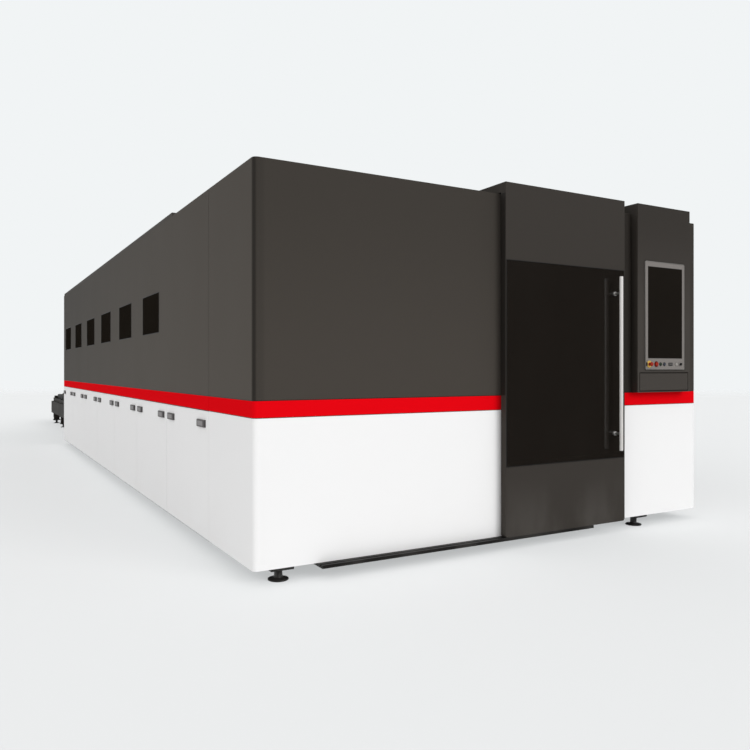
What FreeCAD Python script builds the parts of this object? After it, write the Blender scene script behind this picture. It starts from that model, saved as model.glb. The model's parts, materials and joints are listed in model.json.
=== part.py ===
import FreeCAD, Part
import Sketcher
import math
import os

# Enclosed sheet laser cutter with a rear exchange table. Lengths are in millimetres.
# +X runs to the right along the front, +Y away from the front, +Z up, and the origin
# lies on the floor at the middle of the whole machine.

SIZES = {
    # cabin
    "case_wide": 3600,         # over the side skins
    "case_long": 8380,         # front skin to rear skin
    "case_lift": 80,           # floor to the underside of the covers
    "case_tall": 2200,         # covers, underside to roof
    "skin": 25,                # double-skinned covers
    "corner_radius": 30,       # upright front corners
    "module_long": 800,        # side length of the wrap-round front covers
    "bay_count": 7,            # side bays behind the front covers
    "panel_gap": 4,            # shadow gap between neighbouring covers
    "seat_gap": 0.3,           # running gap between pieces that part or slide
    "white_tall": 812,         # lower white covers
    "band_tall": 93,           # red band above them
    # welded frames behind the covers
    "post": 60,                # square tube
    "waist_tall": 140,         # rail that backs the red band
    "lip": 5,                  # sill plate under the lift-off panels
    "sill_deep": 100,
    "sill_tall": 80,
    # roof
    "roof_sheet": 25,
    "cover_start": 1745,       # front edge of the raised roof cover
    "cover_rise": 32,
    "cover_inset": 6,
    "cover_sheet": 3,
    "rib_wide": 40,
    # side windows
    "window_wide": 590,
    "window_tall": 320,
    "window_low": 1361,        # above the underside of the covers
    "window_lap": 15,
    "pane": 8,
    # lift-off side panels
    "panel_sheet": 3,
    "grip_wide": 168,
    "grip_tall": 44,
    "grip_proud": 14,
    "grip_end": 65,            # from the panel's end
    "grip_low": 705,           # above the underside of the panel
    # doorway and sliding door
    "door_wide": 1083,
    "door_gap": 131,           # between the door and the control box
    "door_proud": 60,
    "door_thick": 46,
    "door_lap": 40,            # door over the edge of the doorway
    "door_corner": 20,
    "header_tall": 130,        # from the roof down to the doorway
    "hood_rise": 66,           # top of the hood above the roof
    "hood_back": 215,
    "hood_sheet": 4,
    "hood_gap": 6,
    "glass_low": 450,
    "glass_tall": 1321,
    "glass_side": 6,
    "glass_thick": 10,
    "glass_lap": 35,
    "handle_radius": 12.5,
    "handle_tall": 1209,
    "handle_low": 508,         # above the underside of the door
    "handle_side": 108,        # from the door's right edge
    "handle_out": 66,
    "standoff_span": 977,
    "standoff_radius": 9,
    # door guides
    "track_wide": 20,
    "track_tall": 20,
    "track_back": 130,         # from the front to the track's middle
    "track_start": 560,
    "track_short": 8,          # end of the track inside the door's right edge
    "trolley_long": 120,
    "trolley_wide": 60,
    "trolley_inset": 160,
    "rail_start": 375,
    "rail_past": 775,          # end of the rail beyond the door's left edge
    "rail_out": 62,
    "rail_tall": 19,
    "rail_groove": 14,
    "rail_depth": 11,
    "shoe_long": 90,
    "shoe_inset": 120,
    # control box
    "box_right": 155,          # from the right side
    "box_wide": 571,
    "box_proud": 64,
    "box_over": 120,
    "box_back": 300,
    "box_inset": 40,
    "drawer_wide": 523,
    "drawer_tall": 124,
    "drawer_low": 14,          # above the underside of the control box
    "drawer_front": 18,
    "drawer_gap": 7,           # seam round the drawer front
    "tray_wide": 456,
    "tray_deep": 290,
    "tray_tall": 74,
    "tray_low": 20,            # above the lower edge of the drawer front
    "tray_sheet": 3,
    "keyboard_wide": 420,
    "keyboard_deep": 140,
    "keyboard_tall": 22,
    # operator screen and its controls
    "bezel_wide": 431,
    "bezel_tall": 790,
    "bezel_low": 163,          # above the underside of the control box
    "bezel_thick": 20,
    "bezel_proud": 8,
    "bezel_radius": 14,
    "screen_wide": 375,
    "screen_tall": 668,
    "screen_low": 84,          # above the lower edge of the bezel
    "screen_thick": 4,
    "button_row": 42,          # above the lower edge of the bezel
    "button_sunk": 16,         # depth of the holes for the controls
    "button_radius": 10,
    "button_rise": 7,
    "start_place": 163,        # places count from the bezel's left edge
    "reset_place": 204,
    "light_place": 335,
    "stop_place": 117,
    "stop_radius": 14,
    "stop_rise": 10,
    "estop_place": 41,
    "estop_ring": 25,
    "estop_ring_thick": 3,
    "estop_stem": 11,
    "estop_rise": 14,          # from the ring to the underside of the mushroom
    "estop_head": 19,
    "estop_top": 15,
    "estop_cap": 15,
    "key_place": 378,
    "key_radius": 12,
    "key_thick": 9,
    "key_rib": 6,
    # base and bed
    "cross_count": 6,
    "cross_wide": 100,
    "cross_tall": 120,
    "bed_start": 1000,
    "bed_side": 150,           # from the side of the cabin to the bed beam
    "bed_top": 750,
    "bed_rear_gap": 70,
    "bed_plate": 20,
    "foot_side": 170,
    "foot_front": 75,
    "foot_right": 610,
    "foot_radius": 55,
    "foot_thick": 14,
    "sleeve_radius": 23,
    "foot_plate": 135,
    "foot_plate_thick": 16,
    # guides of the gantry
    "guide_side": 242,         # from the side of the cabin to the rail's middle
    "guide_wide": 34,
    "guide_tall": 32,
    "rack_side": 330,
    "rack_wide": 30,
    "rack_tall": 28,
    # gantry
    "gantry_start": 1150,
    "saddle_side": 170,
    "saddle_wide": 260,
    "saddle_long": 560,
    "saddle_low": 800,
    "saddle_tall": 150,
    "saddle_block": 120,       # length of a block on the guide rail
    "block_inset": 30,
    "block_clear": 6,          # between the block's legs and the bed
    "beam_start": 1300,
    "beam_side": 200,
    "beam_deep": 260,
    "beam_tall": 330,
    "beam_wall": 14,
    "rail_low": 45,            # X rail above the beam's lower edge
    "rail_high": 285,
    "xrail_wide": 24,
    "xrail_deep": 24,
    "servo_side": 345,
    "servo_wide": 104,
    "servo_tall": 190,
    "gearbox_tall": 95,
    # carriage and cutting head
    "carriage_wide": 320,
    "carriage_thick": 28,
    "carriage_tall": 680,
    "block_tall": 44,
    "block_long": 80,
    "slide_wide": 140,
    "slide_deep": 58,
    "slide_low": 980,
    "slide_tall": 560,
    "head_wide": 96,
    "head_deep": 84,
    "head_low": 1000,
    "head_tall": 290,
    "collimator_radius": 36,
    "collimator_tall": 140,
    "cone_tall": 55,
    "cone_wide": 27,
    "cone_end": 17,
    "collar_radius": 14,
    "nozzle_tall": 20,
    "nozzle_end": 7,
    "nozzle_bore": 1.5,
    # exchange table and pallets
    "table_end": 13700,        # from the front of the cabin
    "table_side": 330,
    "table_inner": 390,
    "table_low": 210,
    "table_tall": 250,
    "leg_count": 4,
    "leg_first": 980,          # from the cabin to the nearest leg
    "leg_last": 500,           # from the end of the table to the farthest leg
    "leg_wide": 110,
    "end_tall": 70,
    "ledge": 70,
    "ledge_thick": 10,
    "lower_level": 260,
    "level_step": 200,
    "pallet_side": 445,
    "pallet_long": 6050,
    "pallet_tall": 120,
    "pallet_tube": 60,
    "lower_start": 1250,
    "upper_stop": 150,         # end of the table to the upper pallet
    "wheel_count": 4,
    "wheel_radius": 38,
    "wheel_wide": 48,
    "pallet_lift": 30,         # pallet underside above its rails
    "slat_count": 24,
    "slat_thick": 6,
    "slat_tall": 140,
    "slat_teeth": 7,
    "tooth_tall": 32,
    "comb_wide": 30,
    "comb_tall": 15,
    # rear wall and gate
    "gateway_low": 120,        # above the underside of the covers
    "gateway_tall": 850,
    "gate_lap": 40,
    "gate_low": 665,
    "gate_tall": 405,
    "gate_thick": 20,
    "gate_travel": 350,
    "guide_lip": 12,
    # pallet drive
    "drive_level": 140,        # height of the cross shaft
    "drive_radius": 15,
    "drive_box": 130,
    "drive_plate": 20,
    "motor_radius": 60,
    "motor_long": 260,
    "sprocket_radius": 58,
    "sprocket_wide": 12,
    "bearing_wide": 36,
    "bearing_long": 90,
}


class Size:
    """A length that is known both as a number and as a formula over the sheet."""

    def __init__(self, amount, text):
        self.amount = amount
        self.text = text

    def mix(self, other, sign, turned=False):
        left, right = (wrap(other), self) if turned else (self, wrap(other))
        steps = {
            "+": lambda: left.amount + right.amount,
            "-": lambda: left.amount - right.amount,
            "*": lambda: left.amount * right.amount,
            "/": lambda: left.amount / right.amount,
        }
        return Size(steps[sign](), f"({left.text} {sign} {right.text})")

    def __add__(self, other):
        return self.mix(other, "+")

    def __radd__(self, other):
        return self.mix(other, "+", True)

    def __sub__(self, other):
        return self.mix(other, "-")

    def __rsub__(self, other):
        return self.mix(other, "-", True)

    def __mul__(self, other):
        return self.mix(other, "*")

    def __rmul__(self, other):
        return self.mix(other, "*", True)

    def __truediv__(self, other):
        return self.mix(other, "/")


def wrap(amount):
    """Give a plain number the same form as a size from the sheet."""
    return amount if isinstance(amount, Size) else Size(amount, f"({amount})")


class Sizes:
    """The driving dimensions, entered in the sheet and read back by name."""

    def __init__(self, sheet, table):
        for row, (name, amount) in enumerate(table.items(), start=1):
            sheet.set(f"A{row}", name)
            sheet.set(f"B{row}", str(amount))
            sheet.setAlias(f"B{row}", name)
            setattr(self, name, Size(amount, f"{sheet.Name}.{name}"))


doc = FreeCAD.newDocument("sheet_laser_cutter")
s = Sizes(doc.addObject("Spreadsheet::Sheet", "Sizes"), SIZES)
nodes = []

# Main planes of the machine.
reach = s.door_proud + s.handle_out + s.handle_radius
front = (reach - s.table_end) / 2
rear = front + s.case_long
table_back = front + s.table_end
left = (s.grip_proud - s.case_wide) / 2
right = left + s.case_wide
middle = s.grip_proud / 2
base = s.case_lift
top = base + s.case_tall
band_low = base + s.white_tall
band_top = band_low + s.band_tall
bay = (s.case_long - s.module_long) / s.bay_count
inner_left = left + s.skin
inner_right = right - s.skin
inner_front = front + s.skin
inner_rear = rear - s.skin
frame_base = base - s.seat_gap
roof_under = top - s.roof_sheet
lintel = top - s.header_tall
box_x = (right - s.box_right - s.box_wide, right - s.box_right)
door_x = (box_x[0] - s.door_gap - s.door_wide, box_x[0] - s.door_gap)


# ---------------------------------------------------------------- building blocks

def bind(item, prop, amount):
    item.setExpression(prop, wrap(amount).text)


def put(item, x, y, z):
    for axis, amount in zip("xyz", (x, y, z)):
        bind(item, f"Placement.Base.{axis}", amount)
    return item


def span(x, y, z):
    """Box between two planes on each axis."""
    item = doc.addObject("Part::Box", "span")
    for prop, (low, high) in zip(("Length", "Width", "Height"), (x, y, z)):
        bind(item, prop, high - low)
    return put(item, x[0], y[0], z[0])


SHAFT_SIDES = 8
WHEEL_SIDES = 16
TURNS = {
    "x": FreeCAD.Rotation(FreeCAD.Vector(0, 1, 0), 90),
    "y": FreeCAD.Rotation(FreeCAD.Vector(1, 0, 0), -90),
    "z": FreeCAD.Rotation(),
}


def rod(axis, radius, along, across, sides=None):
    """Cylinder, or a prism with so many sides, along an axis between the planes in along."""
    item = doc.addObject("Part::Prism" if sides else "Part::Cylinder", "rod")
    item.Placement = FreeCAD.Placement(FreeCAD.Vector(), TURNS[axis])
    if sides:
        item.Polygon = sides
    bind(item, "Circumradius" if sides else "Radius", radius)
    bind(item, "Height", along[1] - along[0])
    place = list(across)
    place.insert("xyz".index(axis), along[0])
    return put(item, *place)


def fused(*pieces):
    item = doc.addObject("Part::MultiFuse", "fused")
    item.Shapes = list(pieces)
    item.Refine = True
    return item


def grouped(*pieces):
    """Separate solids of one kind, kept side by side."""
    item = doc.addObject("Part::Compound", "group")
    item.Links = list(pieces)
    return item


def holed(base_piece, *tools):
    item = doc.addObject("Part::Cut", "holed")
    item.Base = base_piece
    item.Tool = tools[0] if len(tools) == 1 else fused(*tools)
    return item


def node(label, item):
    item.Label = label
    nodes.append(item)
    return item


def both(low, high):
    """The same stretch in from the left and in from the right side of the cabin."""
    return (left + low, left + high), (right - high, right - low)


def plane_of(body, role):
    return next(item for item in body.Origin.OriginFeatures if item.Role == role)


def outline(body, plane, corners):
    """Closed straight-edged sketch whose corners are tied to the sheet."""
    sketch = body.newObject("Sketcher::SketchObject", "outline")
    sketch.AttachmentSupport = (plane_of(body, plane), "")
    sketch.MapMode = "FlatFace"
    points = [FreeCAD.Vector(wrap(u).amount, wrap(v).amount, 0) for u, v in corners]
    sketch.addGeometry([Part.LineSegment(a, b) for a, b in zip(points, points[1:] + points[:1])])
    count = len(points)
    sketch.addConstraint([Sketcher.Constraint("Coincident", i, 2, (i + 1) % count, 1) for i in range(count)])
    for index, corner in enumerate(corners):
        for kind, axis, amount in zip(("DistanceX", "DistanceY"), (-2, -1), corner):
            if wrap(amount).amount == 0:
                sketch.addConstraint(Sketcher.Constraint("PointOnObject", index, 1, axis))
                continue
            number = sketch.addConstraint(Sketcher.Constraint(kind, -1, 1, index, 1, wrap(amount).amount))
            bind(sketch, f"Constraints[{number}]", amount)
    return sketch


def padded(plane, corners, depth, place, towards_back=False):
    """Extruded outline. On the XZ plane it grows to the back if towards_back is set."""
    body = doc.addObject("PartDesign::Body", "padded")
    pad = body.newObject("PartDesign::Pad", "pad")
    pad.Profile = outline(body, plane, corners)
    pad.Reversed = towards_back
    bind(pad, "Length", depth)
    put(body, *place)
    return body


def rounded(body, radius, pick):
    """Round those edges of a body for which pick(edge) holds, in the body's own frame."""
    doc.recompute()
    last = body.Tip
    names = [f"Edge{i}" for i, edge in enumerate(last.Shape.Edges, start=1) if pick(edge)]
    fillet = body.newObject("PartDesign::Fillet", "fillet")
    fillet.Base = (last, names)
    bind(fillet, "Radius", radius)
    return body


def upright_at(x, y):
    """Edge test: parallel to Z and through the point x, y."""
    def test(edge):
        box = edge.BoundBox
        return (
            box.ZLength > 1
            and box.XLength < 0.01
            and box.YLength < 0.01
            and math.hypot(box.XMin - x, box.YMin - y) < 0.1
        )
    return test


# ---------------------------------------------------------------- levelling feet

def foot(x, y):
    """Machine foot: pressed disc, sleeve over the stud and the square plate that it screws in to."""
    plate_low = base - s.foot_plate_thick
    half = s.foot_plate / 2
    disc = rod("z", s.foot_radius, (0, s.foot_thick), (x, y), WHEEL_SIDES)
    sleeve = rod("z", s.sleeve_radius, (s.foot_thick, plate_low), (x, y), SHAFT_SIDES)
    plate = span((x - half, x + half), (y - half, y + half), (plate_low, base))
    return fused(disc, sleeve, plate)


def cross_places():
    """Middles of the cross members under the bed."""
    first = front + s.bed_start + s.cross_wide / 2
    last = inner_rear - s.bed_rear_gap - s.cross_wide / 2
    count = SIZES["cross_count"]
    return [first + (last - first) * number / (s.cross_count - 1) for number in range(count)]


def leg_places():
    """Middles of the legs of the exchange table, from the far end forwards."""
    first = rear + s.leg_first
    last = table_back - s.leg_last
    count = SIZES["leg_count"]
    return [last - (last - first) * number / (s.leg_count - 1) for number in range(count)]


def levelling_feet():
    feet = [foot(left + s.foot_side, front + s.foot_front), foot(right - s.foot_right, front + s.foot_front)]
    for place in cross_places():
        feet += [foot(left + s.foot_side, place), foot(right - s.foot_side, place)]
    leg_middle = s.table_side + s.leg_wide / 2
    for place in leg_places():
        feet += [foot(left + leg_middle, place), foot(right - leg_middle, place)]
    node("levelling_feet", grouped(*feet))


# ---------------------------------------------------------------- base and welded frames

def pallet_ledges(start, end):
    """Shelves on both inner sides, at both levels, on which the pallet wheels roll."""
    shelves = []
    for level in (s.lower_level, s.lower_level + s.level_step):
        for x in both(s.table_inner, s.table_inner + s.ledge):
            shelves.append(span(x, (start, end), (level - s.ledge_thick, level)))
    return shelves


def bed_frame():
    """Welded bed. The side beams are open to the outside between their ribs."""
    cross_x = (inner_left + s.post, inner_right - s.post)
    cross_top = base + s.cross_tall
    half = s.cross_wide / 2
    places = cross_places()
    start = front + s.bed_start
    end = inner_rear - s.bed_rear_gap
    inside = (left + s.table_inner, right - s.table_inner)
    plate = s.bed_plate
    pieces = [span(cross_x, (y - half, y + half), (base, cross_top)) for y in places]
    pieces += [span(x, (start, end), (cross_top, s.bed_top)) for x in both(s.bed_side, s.table_inner)]
    pieces.append(span(inside, (start, start + plate), (cross_top, s.bed_top)))
    pieces += pallet_ledges(start + plate, rear)
    hollows = []
    hollow_z = (cross_top + plate, s.bed_top - plate * 2)
    for low, high in zip(places, places[1:]):
        centre = (low + high) / 2
        for y in ((low + half, centre - plate / 2), (centre + plate / 2, high - half)):
            for x in both(s.bed_side, s.table_inner - plate * 2):
                hollows.append(span(x, y, hollow_z))
    node("bed_frame", holed(fused(*pieces), *hollows))


def side_frame(label, outer, inward):
    """Flat welded frame behind one side of the cabin. inward is +1 on the left side."""
    skin_face = outer + inward * s.skin
    deep = skin_face + inward * s.post
    x = (skin_face, deep) if inward > 0 else (deep, skin_face)
    lip_edge = outer + inward * s.seat_gap * 10
    lip_x = (lip_edge, deep) if inward > 0 else (deep, lip_edge)
    y = (inner_front, inner_rear)
    high = roof_under
    waist = (s.waist_tall - s.band_tall) / 2
    rails = [
        span(x, y, (frame_base, frame_base + s.post)),
        span(x, y, (band_low - waist, band_top + waist)),
        span(x, y, (high - s.post, high)),
        span(lip_x, (front + s.module_long + s.panel_gap, inner_rear), (frame_base - s.lip, frame_base)),
    ]
    posts = [span(x, (inner_front, inner_front + s.post), (frame_base, high))]
    for number in range(SIZES["bay_count"]):
        y_post = front + s.module_long + bay * number
        posts.append(span(x, (y_post - s.post / 2, y_post + s.post / 2), (frame_base, high)))
    posts.append(span(x, (inner_rear - s.post, inner_rear), (frame_base, high)))
    node(label, fused(*rails, *posts))


def door_edges():
    """Left and right edge of the doorway."""
    return door_x[0] + s.door_lap, door_x[1] - s.door_lap


def front_frame():
    opening = door_edges()
    x = (inner_left + s.post, inner_right - s.post)
    y = (inner_front, inner_front + s.post)
    high = roof_under
    waist = (s.waist_tall - s.band_tall) / 2
    waist_z = (band_low - waist, band_top)
    halfway = (x[0] + opening[0]) / 2
    pieces = [
        span(x, (inner_front, inner_front + s.sill_deep), (base, base + s.sill_tall)),
        span(x, y, (lintel, high)),
        span((x[0], opening[0]), y, waist_z),
        span((opening[1], x[1]), y, waist_z),
        span((opening[0] - s.post, opening[0]), y, (base, high)),
        span((opening[1], opening[1] + s.post), y, (base, high)),
        span((halfway - s.post / 2, halfway + s.post / 2), y, (base, high)),
    ]
    node("front_frame", fused(*pieces))


# ---------------------------------------------------------------- cabin covers

def wrap_cover(side, end, low, high):
    """Cover that runs along the front, round the upright corner and along one side."""
    side_end = s.module_long
    if side == "left":
        length = end - left
        corners = (
            (0, 0),
            (length, 0),
            (length, s.skin),
            (s.skin, s.skin),
            (s.skin, side_end),
            (0, side_end),
        )
        return rounded(padded("XY_Plane", corners, high - low, (left, front, low)),
                       s.corner_radius, upright_at(0, 0))
    length = right - end
    corners = (
        (0, 0),
        (length, 0),
        (length, side_end),
        (length - s.skin, side_end),
        (length - s.skin, s.skin),
        (0, s.skin),
    )
    return rounded(padded("XY_Plane", corners, high - low, (end, front, low)),
                   s.corner_radius, upright_at(length.amount, 0))


def front_covers():
    opening = door_edges()
    gap = s.panel_gap / 2
    node("front_left_upper", wrap_cover("left", opening[0], band_top + gap, top))
    node("front_left_lower", wrap_cover("left", opening[0], base, band_low - gap))
    node("front_right_lower", wrap_cover("right", opening[1], base, band_low - gap))
    through = (front - s.skin, inner_front + s.skin)
    doorway = span(opening, through, (base, lintel))
    cabinet_hole = span((box_x[0] + s.box_inset, box_x[1] - s.box_inset), through, (base, lintel))
    upper = wrap_cover("right", opening[0] + s.panel_gap, band_top + gap, top)
    node("front_right_upper", holed(upper, doorway, cabinet_hole))


def stripes():
    opening = door_edges()
    gap = s.panel_gap / 2
    z = (band_low + gap, band_top - gap)
    y = (front + s.module_long + s.panel_gap, rear)
    wrapped = wrap_cover("left", opening[0], *z)
    node("left_stripe", grouped(wrapped, span((left, inner_left), y, z)))
    wrapped = wrap_cover("right", opening[1], *z)
    node("right_stripe", grouped(wrapped, span((inner_right, right), y, z)))


def window_middles():
    """One window in the middle of each bay after the first."""
    return [front + s.module_long + bay * (number + 0.5) for number in range(1, SIZES["bay_count"])]


def side_walls():
    half = s.window_wide / 2
    y = (front + s.module_long + s.panel_gap, rear)
    z = (band_top + s.panel_gap / 2, top)
    low = base + s.window_low
    high = low + s.window_tall
    panes = []
    for label, x, pane_x in (
        ("left_wall", (left, inner_left), (left, left + s.pane)),
        ("right_wall", (inner_right, right), (right - s.pane, right)),
    ):
        cuts = []
        for place in window_middles():
            lap = s.window_lap
            cuts.append(span(x, (place - half + lap, place + half - lap), (low + lap, high - lap)))
            cuts.append(span(pane_x, (place - half, place + half), (low, high)))
            panes.append(
                span(
                    pane_x,
                    (place - half + s.seat_gap, place + half - s.seat_gap),
                    (low + s.seat_gap, high - s.seat_gap),
                )
            )
        node(label, holed(span(x, y, z), *cuts))
    node("side_windows", grouped(*panes))


def bay_stretch(number):
    start = front + s.module_long + bay * number
    return start + s.panel_gap / 2, start + bay - s.panel_gap / 2


def grip(y, low):
    """Pull grip that bulges out between its two ends. Its outline lies in X and Y."""
    wide = s.grip_wide
    out = s.grip_proud
    corners = (
        (0, 0),
        (0, wide),
        (-0.8 * out, wide * 0.98),
        (-1 * out, wide * 0.93),
        (-1 * out, wide * 0.07),
        (-0.8 * out, wide * 0.02),
    )
    return padded("XY_Plane", corners, s.grip_tall, (left, y, low))


def side_panels():
    """Lift-off panels on the left, each a folded pan with two grips, and the fixed right side."""
    z = (base, band_low - s.panel_gap)
    x = (left, inner_left - s.seat_gap)
    sheet = s.panel_sheet
    fixed = []
    for number in range(SIZES["bay_count"]):
        start, end = bay_stretch(number)
        pan = holed(
            span(x, (start, end), z),
            span((x[0] + sheet, x[1]), (start + sheet, end - sheet), (z[0] + sheet, z[1] - sheet)),
        )
        grips = [
            grip(start + s.grip_end, base + s.grip_low),
            grip(end - s.grip_end - s.grip_wide, base + s.grip_low),
        ]
        node(f"left_panel_{number + 1}", fused(pan, *grips))
        fixed.append(span((inner_right, right), (start, end), z))
    node("right_lower_panels", grouped(*fixed))


def roof():
    y_step = front + s.cover_start
    x = (inner_left, inner_right)
    node("roof_front", span(x, (inner_front, y_step - s.panel_gap), (roof_under, top)))
    inset = s.cover_inset
    outer_x = (left + inset, right - inset)
    outer_y = (y_step, rear - inset)
    sheet = s.cover_sheet
    shell = holed(
        span(outer_x, outer_y, (top, top + s.cover_rise)),
        span(
            (outer_x[0] + sheet, outer_x[1] - sheet),
            (outer_y[0] + sheet, outer_y[1] - sheet),
            (top, top + s.cover_rise - sheet),
        ),
    )
    ribs = []
    for number in range(1, SIZES["bay_count"]):
        y = front + s.module_long + bay * number
        ribs.append(span(outer_x, (y - s.rib_wide / 2, y + s.rib_wide / 2), (top, top + s.cover_rise)))
    node("roof_cover", fused(shell, *ribs))


def rear_wall():
    x = (inner_left, inner_right)
    sheet = span(x, (inner_rear, rear), (base, top))
    opening_x = (left + s.table_inner, right - s.table_inner)
    opening_z = (base + s.gateway_low, base + s.gateway_low + s.gateway_tall)
    opening = span(opening_x, (inner_rear - s.skin, rear + s.skin), opening_z)
    tube_x = (inner_left + s.post, inner_right - s.post)
    header = span(tube_x, (inner_rear - s.post, inner_rear), (roof_under - s.post, roof_under))
    pieces = [holed(sheet, opening), header]
    gap = s.seat_gap
    lip = s.guide_lip
    depth = s.gate_thick + gap * 2
    guide_z = (s.gate_low - gap - lip, s.gate_low + s.gate_tall + s.gate_travel)
    edge = s.table_inner - s.gate_lap - gap
    for outer, inner in ((left + edge, -1), (right - edge, 1)):
        side = (outer, outer + lip * inner)
        hook = (outer - lip * inner, outer + lip * inner)
        for x_pair, y_pair in (
            (side, (inner_rear - depth - lip, inner_rear)),
            (hook, (inner_rear - depth - lip, inner_rear - depth)),
        ):
            pair = x_pair if inner > 0 else (x_pair[1], x_pair[0])
            pieces.append(span(pair, y_pair, guide_z))
    for x_pair in both(s.table_inner - s.gate_lap, s.table_inner):
        stop_z = (s.gate_low - gap - lip, s.gate_low - gap)
        pieces.append(span(x_pair, (inner_rear - depth, inner_rear), stop_z))
    node("rear_wall", fused(*pieces))
    gate_x = (left + s.table_inner - s.gate_lap, right - s.table_inner + s.gate_lap)
    gate_y = (inner_rear - gap - s.gate_thick, inner_rear - gap)
    node("rear_gate", span(gate_x, gate_y, (s.gate_low, s.gate_low + s.gate_tall)))


# ---------------------------------------------------------------- sliding door

door_face = front - s.door_proud
door_back = door_face + s.door_thick
hood_top = top + s.hood_rise
track_y = front + s.track_back


def door_shell():
    x = door_x
    width = s.door_wide
    leaf = padded("XZ_Plane", ((0, 0), (width, 0), (width, hood_top - base), (0, hood_top - base)),
                  s.door_thick, (x[0], door_face, base), towards_back=True)

    def lower_corner(edge):
        box = edge.BoundBox
        return box.YLength > 1 and box.XLength < 0.01 and box.ZMax < 0.01

    rounded(leaf, s.door_corner, lower_corner)
    glass_x = (x[0] + s.glass_side, x[1] - s.glass_side)
    glass_z = (base + s.glass_low, base + s.glass_low + s.glass_tall)
    lap = s.glass_lap
    rebate = span(glass_x, (door_face - 1, door_face + s.glass_thick), glass_z)
    sight_x = (glass_x[0] + lap, glass_x[1] - lap)
    sight_z = (glass_z[0] + lap, glass_z[1] - lap)
    sight = span(sight_x, (door_face, door_back + 1), sight_z)
    hood_y = (door_back, front + s.hood_back)
    sheet = s.hood_sheet
    hood = [span(x, hood_y, (hood_top - sheet, hood_top))]
    low = top + s.hood_gap
    for cheek in ((x[0], x[0] + sheet), (x[1] - sheet, x[1])):
        hood.append(span(cheek, hood_y, (low, hood_top)))
    hood.append(span(x, (hood_y[1] - sheet, hood_y[1]), (low, hood_top)))
    clear = s.hood_gap
    notch = span(
        (x[0] - 1, x[1] + 1),
        (track_y - s.track_wide / 2 - clear, track_y + s.track_wide / 2 + clear),
        (low - 1, top + s.track_tall + clear),
    )
    shoe_y = (door_face + door_back) / 2
    half = s.rail_groove / 2 - s.seat_gap
    shoes = []
    for start in (x[0] + s.shoe_inset, x[0] + s.door_wide / 2 - s.shoe_long / 2):
        z = (base - s.rail_depth + 1, base)
        shoes.append(span((start, start + s.shoe_long), (shoe_y - half, shoe_y + half), z))
    whole = fused(leaf, *hood, *shoes)
    node("door_shell", holed(whole, rebate, sight, notch))
    gap = s.seat_gap
    pane = span(
        (glass_x[0] + gap, glass_x[1] - gap),
        (door_face, door_face + s.glass_thick),
        (glass_z[0] + gap, glass_z[1] - gap),
    )
    node("door_glass", pane)


def door_handle():
    x = door_x[1] - s.handle_side
    y = door_face - s.handle_out
    low = base + s.handle_low
    centre = low + s.handle_tall / 2
    pieces = [rod("z", s.handle_radius, (low, low + s.handle_tall), (x, y))]
    for height in (centre - s.standoff_span / 2, centre + s.standoff_span / 2):
        pieces.append(rod("y", s.standoff_radius, (y, door_face), (x, height)))
    node("door_handle", fused(*pieces))


def door_guides():
    track_x = (left + s.track_start, door_x[1] - s.track_short)
    half = s.track_wide / 2
    node("door_track", span(track_x, (track_y - half, track_y + half), (top, top + s.track_tall)))
    under = hood_top - s.hood_sheet
    gap = s.seat_gap
    blocks = []
    for start in (door_x[0] + s.trolley_inset, door_x[1] - s.trolley_inset - s.trolley_long):
        x = (start, start + s.trolley_long)
        y = (track_y - s.trolley_wide / 2, track_y + s.trolley_wide / 2)
        block = span(x, y, (top + s.hood_gap, under))
        channel = span(x, (track_y - half - gap, track_y + half + gap), (top, top + s.track_tall + gap))
        blocks.append(holed(block, channel))
    node("door_trolleys", grouped(*blocks))
    rail_x = (left + s.rail_start, door_x[0] + s.rail_past)
    rail_z = (base - s.rail_tall, base)
    groove_y = (door_face + door_back) / 2
    half_groove = s.rail_groove / 2
    rail = span(rail_x, (front - s.rail_out, inner_front + s.post), rail_z)
    groove = span(rail_x, (groove_y - half_groove, groove_y + half_groove), (base - s.rail_depth, base))
    relief = span(rail_x, (front - s.rail_out, front), (base - s.seat_gap, base))
    node("bottom_rail", holed(rail, groove, relief))


# ---------------------------------------------------------------- control box

box_face = front - s.box_proud
box_low = band_top
box_middle = (box_x[0] + box_x[1]) / 2
drawer_z = (box_low + s.drawer_low, box_low + s.drawer_low + s.drawer_tall)
bezel_x = box_middle - s.bezel_wide / 2
bezel_z = box_low + s.bezel_low
bezel_face = box_face - s.bezel_proud
button_z = bezel_z + s.button_row
push_buttons = (
    ("stop_button", s.stop_place, s.stop_radius, s.stop_rise),
    ("start_button", s.start_place, s.button_radius, s.button_rise),
    ("reset_button", s.reset_place, s.button_radius, s.button_rise),
    ("light_button", s.light_place, s.button_radius, s.button_rise),
)


def control_box():
    outer = span(box_x, (box_face, front), (box_low, hood_top))
    lip = span(box_x, (box_face, front + s.box_over), (top, hood_top))
    gap = s.seat_gap
    inset = s.box_inset + gap
    cabinet = span(
        (box_x[0] + inset, box_x[1] - inset),
        (front, front + s.box_back),
        (box_low + s.panel_gap, lintel - gap),
    )
    seam = s.drawer_gap
    half = s.drawer_wide / 2 + seam
    front_recess = span(
        (box_middle - half, box_middle + half),
        (box_face - 1, box_face + s.drawer_front + gap),
        (drawer_z[0] - seam, drawer_z[1] + seam),
    )
    half = s.tray_wide / 2 + gap
    tray_z = drawer_z[0] + s.tray_low
    bay_box = span(
        (box_middle - half, box_middle + half),
        (box_face, box_face + s.drawer_front + s.tray_deep + gap * 2),
        (tray_z - gap, tray_z + s.tray_tall + gap),
    )
    seat = bezel_outline(s.bezel_thick - s.bezel_proud, box_face)
    node("control_box", holed(fused(outer, lip, cabinet), front_recess, bay_box, seat))


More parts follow.
